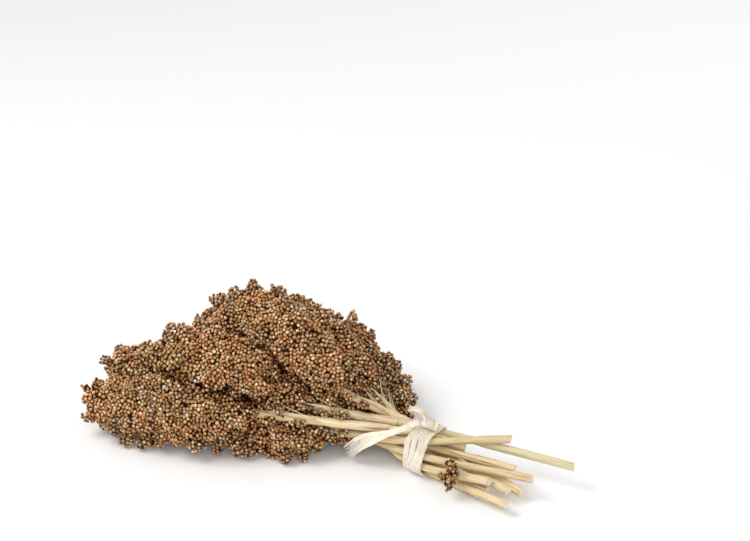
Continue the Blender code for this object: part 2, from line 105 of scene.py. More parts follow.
# Stalks: the place along the stalk where its lower leaf sheath ends, and the sheaths' pointed tongues
# (place of the root, length, angle off the stalk and lean to the back in degrees).
SHEATH_ENDS = (0.30, 0.62, 0.42, 0.20, 0.52)
BLADES = {
    "front_far": (1.50, 0.078, 8, -25),
    "left_top": (1.50, 0.062, 14, -35),
    "middle_top": (1.38, 0.046, 17, -30),
    "centre_top": (1.40, 0.048, 17, -20),
    "back_top": (1.84, 0.044, 26, 50),
}

# The twine: the band of turns around the waist, the knot on its upper back, and the loose tail.
STRANDS = 4
WRAP_WIDTH = 0.021
WRAP_THICK = 0.0026
WRAP_GAP = 0.0007
WRAP_SKEW = 0.001
WRAP_AHEAD = 0.010
WRAP_POINTS = 73
WRAP_LOWEST = 0.0017
WRAP_DRIFT = 0.0006
WRAP_UNEVEN = 0.00025
WRAP_SLICE = 0.004
STRAND_THICK = 0.0011
HEART_CORNERS = 10
FIBRE_RADII = (0.00030, 0.00044)
# How a fibre sways across its strand: how far, and radians to the metre along it.
SWAYS = ((0.00022, 420), (0.00016, 910))
FRAY_LIFT = 0.0011
HAIR_RADIUS = 0.00011
HAIR_LOWEST = 0.0004
KNOT_TURN = 80
KNOT_AHEAD = 0.0145
KNOT_HALF = 0.016
KNOT_RISE = 0.0048
KNOT_THICK = 0.0038
# The loop over the knot: its reach round the bunch, its height, its lean along the stalks, how far it
# is sunk into the knot, and its strand's half width and thickness.
LOOP_REACH = 0.0072
LOOP_HIGH = 0.0062
LOOP_LEAN = 0.0030
LOOP_SUNK = 0.0014
LOOP_HALF = 0.0035
LOOP_THICK = 0.0016
# The twine's short second end, from the knot's seat, in millimetres.
SECOND_END = ((-2, -3, 6), (-5, -3, 12), (-10, -4, 16), (-16, -5, 16), (-21, -6, 13))
# The loose tail's route, from the waist's point on the floor.
TAIL_ROUTE = ((0.002, 0.006, 0.048), (-0.013, -0.010, 0.041), (-0.031, -0.016, 0.031),
              (-0.047, -0.023, 0.022), (-0.059, -0.033, 0.012))
# The way that the tail's flat side faces, its thickness and its room over the stalks, and how far
# beside it and along it a stalk still lifts it.
TAIL_FACING = (0.30, -0.76, 0.58)
TAIL_THICK = 0.0009
TAIL_ROOM = 0.0008
TAIL_BESIDE = 0.0095
TAIL_ALONG = 0.006
BAND_BEHIND = 0.016
TAIL_LOWEST = -0.004
TAIL_HALF = 0.0027
TAIL_WIDENS = 0.0041

# Grains: size, the least distance between two of them, and how they gather in small clusters.
GOLDEN = 2.39996
GRAIN_HALF = 0.00202
SPRIG_GRAIN = 0.90
GRAIN_LONG = 1.10
GRAIN_PITCH = 0.00355
GRAIN_SINK = 0.0019
GRAIN_UNEVEN = 0.00045
DEEPEST = 0.0040
FULL_GRAIN = (7, ((-0.42, 0.92, 0.0), (0.46, 0.88, 0.5)))
PLAIN_GRAIN = (5, ((-0.45, 0.90, 0.0), (0.45, 0.90, 0.5)))
# Grains less open than PLAIN_BELOW get the plain shape and painted shade: their heights are scaled by
# PLAIN_SHADE, so more of each grain is darkened.
PLAIN_BELOW = 0.30
PLAIN_SHADE = 0.70
CLUSTER_PITCH = 0.0150
CLUSTER_RISE = 0.0031
CLUSTER_UNEVEN = 0.0012
UNDER_SINK = 0.0025
UNDER_PITCH = 0.0032
CROWDED = 0.0030
CORE_SINK = 0.0060
CANDIDATE_AREA = 1.3e-6
HUSK_SHARE = 0.30
SPRIG_HUSK_SHARE = 0.54
CLUSTER_SPLAY = 0.55
TOWARD_TIP = 0.30
# The stretch of a rod that carries grains, and the points of the line that their places are read from.
HEAD_FROM = 2.02
HEAD_TO = 3.96
AXIS_POINTS = 60
# How deep the core may lie, as shares of its sink, and the height that it stays above.
CORE_DEPTHS = (0.25, 0.4, 0.6, 0.8, 1.0)
CORE_FLOOR = 0.0012
# The rays that tell how open a place is: their number, where they start and how far they go.
SKY_RAYS = 14
RAY_START = 0.0030
SKY_REACH = 0.030
BOX_ROOM = 0.0031
# A husk around a grain's foot, in half widths of the grain: its foot, how far out its rim lies, how
# high its two lobes and the rest of the rim reach, and its floor inside.
HUSK_FOOT = -1.30
HUSK_REACH = 1.16
HUSK_LOBE = 0.75
HUSK_RIM = -0.25
HUSK_FLOOR = -0.45
FLAKES_PER_HEAD = 12
FLAKE_LENGTHS = (0.0035, 0.0085)
FLAKE_HALVES = (0.00022, 0.0007)
FLAKE_BENDS = (-0.0015, 0.001)
FLAKE_LIFT = 0.0004
FLAKE_THICK = 0.00012

# Sprigs of grains on a head's outline and in its grooves: the open share of the places that they
# take, the least distance between two, the most per head, the range of their length and of their
# width, and how much light their grains get, which sets the shade painted on them.
SPRIGS = (
    (0.70, 1.0, 0.0185, 18, (0.012, 0.019), (0.0100, 0.0145), 1.0),
    (0.03, 0.50, 0.013, 30, (0.010, 0.017), (0.0085, 0.0115), 0.2),
)
# Single sprigs, in millimetres: root, tip and width.
PLACED_SPRIGS = {
    "left_low": (((-234, -45, 26), (-242, -48, 50), 15),),
    "front_far": (((-192, -92, 13), (-197, -104, 5), 14), ((-172, -100, 12), (-176, -114, 4), 14),
                  ((-154, -96, 15), (-157, -111, 5), 12), ((-140, -90, 14), (-141, -102, 6), 10),
                  ((-88, -66, 14), (-85, -78, 6), 11), ((-70, -60, 14), (-66, -71, 6), 11)),
    "front_near": (((-58, -55, 15), (-57, -68, 5), 12),),
    "left_top": (((-150, -49, 102), (-156, -51, 122), 13), ((-138, -49, 106), (-142, -52, 127), 12)),
    "middle_top": (((-139, 20, 102), (-144, 20, 125), 14), ((-125, 20, 112), (-128, 20, 138), 14),
                   ((-112, 33, 118), (-114, 35, 143), 12)),
    "centre_top": (((-121, 45, 108), (-123, 50, 128), 11), ((-13, 57, 86), (-9, 60, 128), 12)),
}
# How deep a sprig is rooted as a share of its length, its grains for each squared pitch and their
# least count, their least reach before it varies, and the stem's places and radii.
SPRIG_ROOTED = 0.42
SPRIG_CROWD = 2.9
SPRIG_LEAST = 6
SPRIG_THIN = 0.0006
STEM_PLACES = (-0.35, 0.1, 0.5, 0.9)
STEM_RADII = (0.0009, 0.0009, 0.0007, 0.0005)
# Sprigs along the stalk below a head: how many, their size, and the place where the lowest one sits.
BASE_SPRIGS = 11
BASE_OUT = 0.006
BASE_LENGTHS = (0.011, 0.019)
BASE_WIDTHS = (0.0085, 0.0115)
BASE_FROM = {"front_far": 1.60, "left_low": 1.50, "left_top": 1.55, "middle_top": 1.60,
             "centre_top": 1.60, "middle_low": 1.60, "front_near": 1.62, "back_top": 1.22,
             "back_low": 1.30, "right_low": 1.45}
# The broken sprig: its line's inset from its box, the size of its branches, and the point of the line
# and the direction of each.
LOOSE_INSET = 0.0045
LOOSE_STEM = 0.0010
LOOSE_SIZE = (0.0105, 0.0090)
LOOSE_SPRIGS = (
    (5, (-0.3, 0.7, -0.6)),
    (8, (0.8, -0.3, 0.1)),
    (10, (-0.7, -0.3, -0.1)),
    (12, (0.9, 0.3, 0.3)),
    (13, (0.1, 0.7, -0.6)),
    (16, (0.7, 0.2, 0.6)),
)
# Stalks are free of grains up to the place BARE_TO, and this far around stalks and leaf sheaths.
BARE_TO = 1.58
STALK_ROOM = 0.0060
BLADE_ROOM = 0.0036

# Stalks and leaf sheaths.
STALK_CORNERS = 24
STALK_ROWS = 120
STALK_TO = 2.06
STALK_RIDGE = 0.00011
STALK_WAVE = 0.00008
GREEN_STALK = "left_top"
GREEN_SHARE = 0.5
# The cut face's rings, from its rim inward: share of the radius and how deep.
CUT_RINGS = ((1.0, 0.0), (0.90, -0.00005), (0.86, 0.00035), (0.45, 0.00055))
CUT_RIM = 0.0002
PITH_SUNK = 0.0006
SLANT_REACH = 0.010
LEAF_ACROSS = 9
LEAF_THICK = 0.0004
LEAF_RIPPLE = 0.00012
# Half the width of a sheath around its stalk and of its free tongue, and the tongue's curl and lift.
SHEATH_HALF = 0.0118
TONGUE_HALF = 0.0040
TONGUE_CURL = 0.0060
TONGUE_LIFT = 0.0008
TORN_STRIPS = 7
STRIP_LENGTHS = (0.012, 0.028)
STRIP_HALVES = (0.0003, 0.0008)
STRIP_THICK = 0.00014

# The photograph's view: 750 by 541 pixels, about 1 mm to a pixel at the bunch.
VIEW_TURN = 32
VIEW_HEIGHT = 30
VIEW_DISTANCE = 2.2
VIEW_WIDTH = 0.750
VIEW_CENTRE_ACROSS = -0.040
VIEW_CENTRE_UP = 0.1935

# Light: the white sky's strength, and each lamp's place, size and power in watts.
SKY_STRENGTH = 0.64
LAMPS = {
    "key": ((-0.75, -0.75, 1.45), 0.9, 17),
    "fill": ((0.9, -1.2, 1.0), 1.0, 8.5),
    "rim": ((0.2, 1.4, 1.1), 1.0, 5),
}
LAMPS_AIM = (0, 0, 0.04)
FLOOR_HALF = 4


def control_weights(count):
    """Weights of a rod's five control points for each of count samples: a Catmull-Rom curve."""
    weights = np.zeros((count, 5))
    for row, place in enumerate(np.linspace(0, 4, count)):
        span = min(int(place), 3)
        t = place - span
        blend = (
            (-t**3 + 2 * t**2 - t) / 2,
            (3 * t**3 - 5 * t**2 + 2) / 2,
            (-3 * t**3 + 4 * t**2 + t) / 2,
            (t**3 - t**2) / 2,
        )
        for index, share in zip(range(span - 1, span + 3), blend):
            if index < 0:
                weights[row, 0] += 2 * share
                weights[row, 1] -= share
            elif index > 4:
                weights[row, 4] += 2 * share
                weights[row, 3] -= share
            else:
                weights[row, index] += share
    return weights


def envelope(t):
    """The head's radius as a share of its widest, from its base at t = 0 to its tip at t = 1."""
    swell = 0.30 + 0.70 * np.sin(np.pi / 2 * np.minimum(t / 0.40, 1) ** 0.75)
    taper = 1 - 0.60 * np.maximum((t - 0.40) / 0.60, 0) ** 2.4
    return np.where(t < 0.40, swell, taper)


def first_rods():
    """Control points of each rod (cut end, waist, head base, head middle, head tip) before settling."""
    rods = []
    for bearing, reach, length, _, mid, tip, slot, cut_bearing, cut_reach, cut_z in HEADS.values():
        if slot is None:
            waist = (0, 0, WAIST_MID_Z)
        else:
            turn = math.radians(slot)
            waist = (0, RING_HALF_Y * math.cos(turn), WAIST_MID_Z + RING_HALF_Z * math.sin(turn))
        a, c = math.radians(bearing), math.radians(cut_bearing)
        out = [(cut_reach * math.cos(c), cut_reach * math.sin(c), cut_z), waist]
        for far, z in (
            (reach, (waist[2] + mid) / 2),
            (reach + length / 2, mid),
            (reach + length, tip),
        ):
            out.append((-far * math.cos(a), far * math.sin(a), z))
        rods.append(out)
    return np.array(rods)


def firm_radii(head_share):
    """What each sample can't be pressed closer than: the stalk itself, or that share of the head."""
    place = np.linspace(0, 4, SAMPLES)
    rows = []
    for spec in HEADS.values():
        head = head_share * spec[3] * envelope(np.clip((place - 2) / 2, 0, 1))
        rows.append(np.where(place < 2, STALK_RADIUS, head))
    return np.array(rows)


def settle():
    """Pushes the rods apart and off the floor for a fixed number of rounds, bending them little."""
    weights = control_weights(SAMPLES)
    share = weights / (weights**2).sum(1, keepdims=True)
    radii = firm_radii(FIRM_SHARE)
    footing = firm_radii(FLOOR_SHARE) + CLEAR
    rods = first_rods()
    home = rods.copy()
    for turn in range(ROUNDS):
        points = np.einsum("sk,nkc->nsc", weights, rods)
        move = np.zeros_like(rods)
        count = np.zeros((len(rods), 5, 1))
        for i in range(len(rods)):
            for j in range(i + 1, len(rods)):
                away = points[i][:, None] - points[j][None]
                far = np.sqrt((away**2).sum(2)) + 1e-12
                deep = radii[i][:, None] + radii[j][None] + LEAST_GAP - far
                for low in range(0, SAMPLES, WINDOW):
                    block = deep[low : low + WINDOW]
                    a, b = np.unravel_index(block.argmax(), block.shape)
                    if block[a, b] <= 0:
                        continue
                    push = away[low + a, b] / far[low + a, b] * block[a, b] / 2
                    move[i] += share[low + a][:, None] * push
                    move[j] -= share[b][:, None] * push
                    count[i] += (np.abs(share[low + a]) > 0.05)[:, None]
                    count[j] += (np.abs(share[b]) > 0.05)[:, None]
        rods += move / np.maximum(count, 1)
        points = np.einsum("sk,nkc->nsc", weights, rods)
        under = footing - points[:, :, 2]
        for i in range(len(rods)):
            for low in range(0, SAMPLES, WINDOW):
                a = low + under[i, low : low + WINDOW].argmax()
                if under[i, a] > 0:
                    rods[i, :, 2] += share[a] * under[i, a] * 0.4
        rods += (home - rods) * 0.02 * (1 - turn / ROUNDS)
        rods[:, 1, 0] *= 0.5
    return rods + np.array((WAIST_X, WAIST_Y, 0))


FINE_WEIGHTS = control_weights(FINE + 1)


def curve(rod, low, high, count):
    """Points of a rod between two places: 0 cut end, 1 waist, 2 head base, 3 head middle, 4 head tip."""
    fine = FINE_WEIGHTS @ rod
    place = np.linspace(low, high, count) * FINE / 4
    return np.stack([np.interp(place, np.arange(FINE + 1), fine[:, axis]) for axis in range(3)], 1)


def carried_frames(points):
    """A tangent and two cross directions at each point, carried along the curve without twisting."""
    tangents = np.gradient(points, axis=0)
    tangents /= np.linalg.norm(tangents, axis=1, keepdims=True)
    across = np.cross(tangents[0], (0.0, 0.0, 1.0))
    rows = []
    for tangent in tangents:
        across = across - tangent * across.dot(tangent)
        across /= np.linalg.norm(across)
        rows.append((tangent, across, np.cross(across, tangent)))
    return np.array(rows)


def lengths_along(points):
    """How far along the line each of its points lies."""
    return np.concatenate(([0], np.cumsum(np.linalg.norm(np.diff(points, axis=0), axis=1))))


def ring_turns(sides):
    """Angles of the corners around a ring."""
    return 2 * math.pi * np.arange(sides) / sides


def columns(*values):
    """Numbers and rows of numbers side by side, as the columns of one array."""
    return np.column_stack(np.broadcast_arrays(*values))


# Each kind of piece's own list of materials, in order.
GRAIN, SHADE_CORE, HUSK = range(3)
STRAW, PITH = range(2)
TWINE = 0
# What a part's vertices carry where it has no strand of its own, and marks that several parts share.
NO_RUN = (0.0, 0.0, 0.0)
MIDDLE_MARK = (0.5, 0.5, 0.5, 1.0)
STEM_MARK = (0.75, 0.5, 0.5, 1.0)
HAIR_MARK = (0.9, 0.5, 0.5, 1.0)
HEART_MARK = (0.35, 0.5, 0.5, 1.0)
WHITE = (1.0, 1.0, 1.0)


def unit(rows):
    """The same directions, one long."""
    return rows / np.maximum(np.linalg.norm(rows, axis=-1, keepdims=True), 1e-12)


def add_mesh(name, parts, materials):
    """One mesh from parts of (vertices, faces, material index, mark, run).

    The mark is a colour for each vertex, and the run its place across and along its own strand.
    """
    vertices, marks, runs, loops, sizes, slots = [], [], [], [], [], []
    start = 0
    for points, faces, slot, mark, run in parts:
        faces = np.asarray(faces)
        vertices.append(np.asarray(points, float))
        marks.append(np.broadcast_to(mark, (len(points), 4)))
        runs.append(np.broadcast_to(run, (len(points), 3)))
        loops.append((faces + start).ravel())
        sizes.append(np.full(len(faces), faces.shape[1]))
        slots.append(np.full(len(faces), slot))
        start += len(points)
    vertices, marks, runs = np.vstack(vertices), np.vstack(marks), np.vstack(runs)
    loops, sizes, slots = np.concatenate(loops), np.concatenate(sizes), np.concatenate(slots)
    mesh = bpy.data.meshes.new(name)
    mesh.vertices.add(len(vertices))
    mesh.vertices.foreach_set("co", vertices.ravel())
    mesh.loops.add(len(loops))
    mesh.loops.foreach_set("vertex_index", loops)
    mesh.polygons.add(len(sizes))
    mesh.polygons.foreach_set("loop_start", np.concatenate(([0], np.cumsum(sizes)[:-1])))
    mesh.polygons.foreach_set("material_index", slots)
    mesh.polygons.foreach_set("use_smooth", np.ones(len(sizes), bool))
    mesh.update(calc_edges=True)
    mark = mesh.attributes.new("mark", "FLOAT_COLOR", "POINT")
    mark.data.foreach_set("color", marks.ravel())
    run = mesh.attributes.new("run", "FLOAT_VECTOR", "POINT")
    run.data.foreach_set("vector", runs.ravel())
    for material in materials:
        mesh.materials.append(material)
    piece = bpy.data.objects.new(name, mesh)
    bpy.context.scene.collection.objects.link(piece)
    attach(piece, "root")
    return piece


def dress_node(name, ending, parts, materials):
    """The piece made of the parts, in the place of the CAD node of that name."""
    piece = add_mesh(name + ending, parts, materials)
    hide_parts(name)
    return piece


def new_material(name, roughness, **fixed):
    """A material, its node tree and its shader; the fixed values are set on the shader's own sockets."""
    material = bpy.data.materials.new(name)
    material.use_nodes = True
    tree = material.node_tree
    shader = tree.nodes["Principled BSDF"]
    shader.inputs["Roughness"].default_value = roughness
    for socket, value in fixed.items():
        shader.inputs[socket.replace("_", " ")].default_value = value
    return material, tree, shader


def node(tree, kind, inputs=(), **settings):
    """A shader node with its settings and its inputs, each a value or another node's output."""
    made = tree.nodes.new(kind)
    for name, value in settings.items():
        setattr(made, name, value)
    for name, value in dict(inputs).items():
        if isinstance(value, bpy.types.NodeSocket):
            tree.links.new(value, made.inputs[name])
        else:
            made.inputs[name].default_value = value
    return made


def ramp(tree, factor, stops):
    """The colour that the stops give for a factor."""
    made = node(tree, "ShaderNodeValToRGB", {"Fac": factor})
    elements = made.color_ramp.elements
    while len(elements) < len(stops):
        elements.new(0.5)
    for element, (place, colour) in zip(elements, stops):
        element.position = place
        element.color = (*colour, 1)
    return made.outputs["Color"]


def mix(tree, factor, first, second, blend="MIX"):
    """The first colour with a share of the second, each a colour or another node's output."""
    made = tree.nodes.new("ShaderNodeMix")
    made.data_type = "RGBA"
    made.blend_type = blend
    for socket, value in ((made.inputs[0], factor), (made.inputs[6], first), (made.inputs[7], second)):
        if isinstance(value, bpy.types.NodeSocket):
            tree.links.new(value, socket)
        elif isinstance(value, (int, float)):
            socket.default_value = value
        else:
            socket.default_value = (*value, 1)
    return made.outputs[2]


def mark_values(tree):
    """The red, green and blue parts of the mark stored on each vertex."""
    mark = node(tree, "ShaderNodeAttribute", attribute_name="mark")
    parts = node(tree, "ShaderNodeSeparateColor", {"Color": mark.outputs["Color"]})
    return parts.outputs["Red"], parts.outputs["Green"], parts.outputs["Blue"]


def place_of(tree):
    """The place on the piece, in metres."""
    return node(tree, "ShaderNodeTexCoord").outputs["Object"]


def noise(tree, place, scale, detail):
    """Noise between 0 and 1 at a place."""
    made = node(tree, "ShaderNodeTexNoise", {"Vector": place, "Scale": scale, "Detail": detail})
    return made.outputs["Fac"]


def times(tree, first, second):
    """The product of two colours."""
    return mix(tree, 1.0, first, second, "MULTIPLY")


def finish_look(tree, shader, colour, height, distance, strength=1.0):
    """Gives the shader its colour, and the height as fine relief."""
    tree.links.new(colour, shader.inputs["Base Color"])
    relief = {"Height": height, "Distance": distance, "Strength": strength}
    made = node(tree, "ShaderNodeBump", relief)
    tree.links.new(made.outputs["Normal"], shader.inputs["Normal"])


def grain_material():
    """Dry grains: each has its own tint, a foot dark from its glume and painted shade, and a dark crown
    scar.
    """
    material, tree, shader = new_material("grain", 0.48, Specular_IOR_Level=0.28)
    tint, height, weathered = mark_values(tree)
    patch = noise(tree, place_of(tree), 34.0, 2.5)
    speckle = noise(tree, place_of(tree), 900.0, 3.0)
    own = ramp(tree, tint, (
        (0.0, (0.190, 0.070, 0.014)),
        (0.20, (0.350, 0.158, 0.050)),
        (0.50, (0.545, 0.292, 0.122)),
        (0.78, (0.820, 0.570, 0.380)),
        (1.0, (0.960, 0.830, 0.690)),
    ))
    own = times(tree, own, ramp(tree, patch, (
        (0.30, (0.80, 0.86, 0.94)),
        (0.43, (0.96, 1.02, 0.84)),
        (0.54, (1.05, 0.98, 0.86)),
        (0.66, (1.11, 0.90, 0.76)),
    )))
    own = times(tree, own, ramp(tree, weathered, ((0.0, WHITE), (1.0, (0.80, 0.83, 0.80)))))
    mottled = mix(tree, 0.30, own, ramp(tree, speckle, (
        (0.30, (0.260, 0.110, 0.030)),
        (0.52, (0.560, 0.310, 0.130)),
        (0.72, (0.860, 0.600, 0.380)),
    )))
    # Painted shade: the lower half of each grain is darkened by its height, partly for its dark glume; the
    # last stop is the dark scar at its crown.
    shade = ramp(tree, height, (
        (0.20, (0.11, 0.030, 0.004)),
        (0.50, (0.46, 0.29, 0.15)),
        (0.70, WHITE),
        (0.90, WHITE),
        (1.0, (0.52, 0.42, 0.34)),
    ))
    finish_look(tree, shader, times(tree, mottled, shade), speckle, 0.00012, 0.5)
    return material


def shade_core_material():
    """Branches and chaff under the grains, coloured near black as painted shade."""
    material, tree, shader = new_material("core", 0.9, Specular_IOR_Level=0.1)
    rough = noise(tree, place_of(tree), 260.0, 4.0)
    # Painted shade: these near-black browns stand in for the shade deep among the grains.
    colour = ramp(tree, rough, (
        (0.30, (0.030, 0.008, 0.002)),
        (0.60, (0.070, 0.024, 0.006)),
        (0.80, (0.150, 0.070, 0.025)),
    ))
    finish_look(tree, shader, colour, rough, 0.0012)
    return material


def husk_material():
    """Papery husks at the foot of the grains, brown to pale straw."""
    material, tree, shader = new_material("husk", 0.7, Specular_IOR_Level=0.3)
    tint, _, _ = mark_values(tree)
    streak = noise(tree, place_of(tree), 1400.0, 2.0)
    own = ramp(tree, tint, (
        (0.0, (0.070, 0.034, 0.020)),
        (0.55, (0.190, 0.100, 0.056)),
        (0.80, (0.360, 0.235, 0.135)),
        (1.0, (0.680, 0.540, 0.360)),
    ))
    dark = ramp(tree, streak, ((0.30, (0.72, 0.70, 0.68)), (0.62, WHITE)))
    finish_look(tree, shader, times(tree, own, dark), streak, 0.0002, 0.6)
    return material


def run_place(tree, across, along):
    """Each vertex's place in its own strand, scaled across and along it, so that texture follows it."""
    run = node(tree, "ShaderNodeAttribute", attribute_name="run")
    return node(tree, "ShaderNodeVectorMath", {0: run.outputs["Vector"], 1: (across, across, along)},
                operation="MULTIPLY").outputs["Vector"]


def straw_material():
    """Dry stalks and leaf sheaths: pale straw with fine fibres, darker streaks and a soft sheen."""
    material, tree, shader = new_material("straw", 0.48, Specular_IOR_Level=0.38)
    tint, sheath, green = mark_values(tree)
    fibres = noise(tree, run_place(tree, 2600.0, 55.0), 1.0, 4.0)
    streaks = noise(tree, run_place(tree, 520.0, 26.0), 1.0, 3.0)
    stalk = ramp(tree, fibres, (
        (0.28, (0.480, 0.345, 0.170)),
        (0.45, (0.690, 0.550, 0.315)),
        (0.70, (0.820, 0.700, 0.460)),
    ))
    leaf = ramp(tree, fibres, (
        (0.28, (0.480, 0.330, 0.180)),
        (0.46, (0.720, 0.580, 0.390)),
        (0.72, (0.880, 0.780, 0.590)),
    ))
    colour = mix(tree, sheath, stalk, leaf)
    colour = times(tree, colour, ramp(tree, streaks, ((0.31, (0.48, 0.35, 0.21)), (0.45, WHITE))))
    light = ramp(tree, tint, ((0.0, (0.80, 0.76, 0.70)), (1.0, (1.12, 1.08, 1.02))))
    colour = mix(tree, green, times(tree, colour, light), (0.540, 0.540, 0.340))
    finish_look(tree, shader, colour, fibres, 0.00025, 0.7)
    return material


def pith_material():
    """The cut face of a stalk: pale spongy pith with darker dots."""
    material, tree, shader = new_material("pith", 0.85, Specular_IOR_Level=0.15)
    dots = node(tree, "ShaderNodeTexVoronoi", {"Vector": place_of(tree), "Scale": 1500.0})
    dots = dots.outputs["Distance"]
    colour = ramp(tree, dots, (
        (0.05, (0.420, 0.300, 0.170)),
        (0.22, (0.760, 0.660, 0.460)),
        (0.60, (0.860, 0.790, 0.620)),
    ))
    finish_look(tree, shader, colour, dots, 0.0003, 0.6)
    return material


def twine_material():
    """Cream plant fibre, a little darker in places."""
    material, tree, shader = new_material("twine", 0.8, Specular_IOR_Level=0.2, Sheen_Weight=0.25)
    tint, _, _ = mark_values(tree)
    patch = noise(tree, run_place(tree, 900.0, 120.0), 1.0, 3.0)
    own = ramp(tree, tint, (
        (0.0, (0.780, 0.690, 0.540)),
        (0.5, (0.890, 0.830, 0.700)),
        (1.0, (0.950, 0.915, 0.835)),
    ))
    worn = ramp(tree, patch, ((0.30, (0.86, 0.81, 0.74)), (0.52, WHITE)))
    finish_look(tree, shader, times(tree, own, worn), patch, 0.0002, 0.6)
    return material


def grain_shape(sides, rings):
    """A grain 1 wide and GRAIN_LONG long with its crown at +Z: corners, faces and each corner's height."""
    corners = [(0.0, 0.0, -1.0)]
    for z, wide, turn in rings:
        for step in range(sides):
            angle = 2 * math.pi * (step + turn) / sides
            corners.append((wide * math.cos(angle), wide * math.sin(angle), z))
    corners.append((0.0, 0.0, 0.98))
    last = len(corners) - 1
    faces = []
    for step in range(sides):
        after = (step + 1) % sides
        faces.append((0, 1 + after, 1 + step))
        for row in range(len(rings) - 1):
            low, high = 1 + row * sides, 1 + (row + 1) * sides
            if rings[row][2] < rings[row + 1][2]:
                faces.append((low + step, low + after, high + step))
                faces.append((low + after, high + after, high + step))
            else:
                faces.append((low + step, low + after, high + after))
                faces.append((low + step, high + after, high + step))
        top = last - sides
        faces.append((top + step, top + after, last))
    corners = np.array(corners)
    return corners * (1, 1, GRAIN_LONG), np.array(faces), corners[:, 2] / 2 + 0.5


def husk_shape():
    """A small open cup with a jagged rim around the grain's foot."""
    corners = [(0.0, 0.0, HUSK_FOOT)]
    for step in range(6):
        angle = 2 * math.pi * step / 6
        rise = HUSK_LOBE if step % 3 == 0 else HUSK_RIM
        corners.append((HUSK_REACH * math.cos(angle), HUSK_REACH * math.sin(angle), rise))
    corners.append((0.0, 0.0, HUSK_FLOOR))
    faces = []
    for step in range(6):
        after = (step + 1) % 6
        faces.append((0, 1 + after, 1 + step))
        faces.append((1 + step, 1 + after, 7))
    return np.array(corners), np.array(faces)


def turned_copies(shape, centres, ways, sizes, spins):
    """Copies of a shape, each with its +Z along its way, its own size on three axes and its own spin."""
    ways = unit(ways)
    helper = np.where(np.abs(ways[:, 2:3]) < 0.9, (0.0, 0.0, 1.0), (1.0, 0.0, 0.0))
    side = unit(np.cross(helper, ways))
    up = np.cross(ways, side)
    cos, sin = np.cos(spins)[:, None], np.sin(spins)[:, None]
    first, second = side * cos + up * sin, up * cos - side * sin
    local = shape[None] * sizes[:, None]
    placed = (local[..., 0:1] * first[:, None] + local[..., 1:2] * second[:, None]
              + local[..., 2:3] * ways[:, None])
    return placed + centres[:, None]


def repeated(faces, count, corners):
    """The faces of a shape for each of its copies, whose corners follow one another."""
    return (faces[None] + (np.arange(count) * corners)[:, None, None]).reshape(-1, faces.shape[1])


def grain_parts(centres, ways, open_to, sprig, chance):
    """The grains at the given centres, plainer and darkened with painted shade where little light reaches,
    and husks on some of them.
    """
    count = len(centres)
    size = GRAIN_HALF * chance.uniform(0.88, 1.10, count) * np.where(sprig, SPRIG_GRAIN, 1)
    wide = size * chance.uniform(0.93, 1.05, count)
    deep = size * chance.uniform(0.88, 1.0, count)
    sizes = np.stack((wide, deep, size), 1)
    spins = chance.uniform(0, 2 * math.pi, count)
    tint = np.clip(chance.normal(0.50, 0.25, count), 0, 1)
    weathered = np.where(sprig, chance.uniform(0.2, 1.0, count), chance.uniform(0, 0.35, count))
    husk = chance.uniform(0, 1, count) < np.where(sprig, SPRIG_HUSK_SHARE, HUSK_SHARE)
    parts = []

    def add_copies(shape, faces, slot, here, *marks):
        points = turned_copies(shape, centres[here], ways[here], sizes[here], spins[here])
        mark = np.ones((len(here), len(shape), 4))
        for channel, values in enumerate(marks):
            mark[..., channel] = values
        copies = repeated(faces, len(here), len(shape))
        parts.append((points.reshape(-1, 3), copies, slot, mark.reshape(-1, 4), NO_RUN))

    for plain, (sides, rings) in ((False, FULL_GRAIN), (True, PLAIN_GRAIN)):
        shape, faces, heights = grain_shape(sides, rings)
        here = np.flatnonzero((open_to < PLAIN_BELOW) == plain)
        # Painted shade: grains where little light reaches get lower heights, which the grain material
        # darkens.
        heights = heights * (PLAIN_SHADE if plain else 1)
        add_copies(shape, faces, GRAIN, here, tint[here, None], heights, weathered[here, None])
    cup, cup_faces = husk_shape()
    husked = np.flatnonzero(husk & (open_to >= PLAIN_BELOW))
    add_copies(cup, cup_faces, HUSK, husked, (chance.uniform(0, 1, len(husked)) ** 1.3)[:, None])
    return parts


def triangles_of(name):
    """The corners of a CAD node's triangles."""
    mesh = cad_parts[name].data
    mesh.calc_loop_triangles()
    points = np.empty(len(mesh.vertices) * 3)
    mesh.vertices.foreach_get("co", points)
    corners = np.empty(len(mesh.loop_triangles) * 3, int)
    mesh.loop_triangles.foreach_get("vertices", corners)
    return points.reshape(-1, 3)[corners].reshape(-1, 3, 3)


def sampled_surface(triangles, axis, chance):
    """Even random points on the triangles, with normals that lean away from the axis."""
    cross = np.cross(triangles[:, 1] - triangles[:, 0], triangles[:, 2] - triangles[:, 0])
    area = np.linalg.norm(cross, axis=1) / 2
    count = int(area.sum() / CANDIDATE_AREA)
    chosen = chance.choice(len(triangles), count, p=area / area.sum())
    a, b = chance.uniform(0, 1, (2, count))
    flip = a + b > 1
    a, b = np.where(flip, 1 - a, a)[:, None], np.where(flip, 1 - b, b)[:, None]
    first, second, third = triangles[chosen].transpose(1, 0, 2)
    points = first + a * (second - first) + b * (third - first)
    near = np.linalg.norm(points[:, None] - axis[None], axis=2).argmin(1)
    outward = unit(points - axis[near])
    return points, unit(unit(cross)[chosen] * 0.6 + outward * 0.6), near


def tree_of(points):
    """A tree that finds the points near a place."""
    tree = KDTree(len(points))
    for index, point in enumerate(points):
        tree.insert(point, index)
    tree.balance()
    return tree


def packed(points, order, pitch):
    """Takes the points in the given order, each at least a pitch from all those taken before it."""
    tree = tree_of(points)
    free = np.ones(len(points), bool)
    taken = []
    for index in order:
        if free[index]:
            taken.append(index)
            for _, other, _ in tree.find_range(points[index], pitch):
                free[other] = False
    return np.array(taken, int)


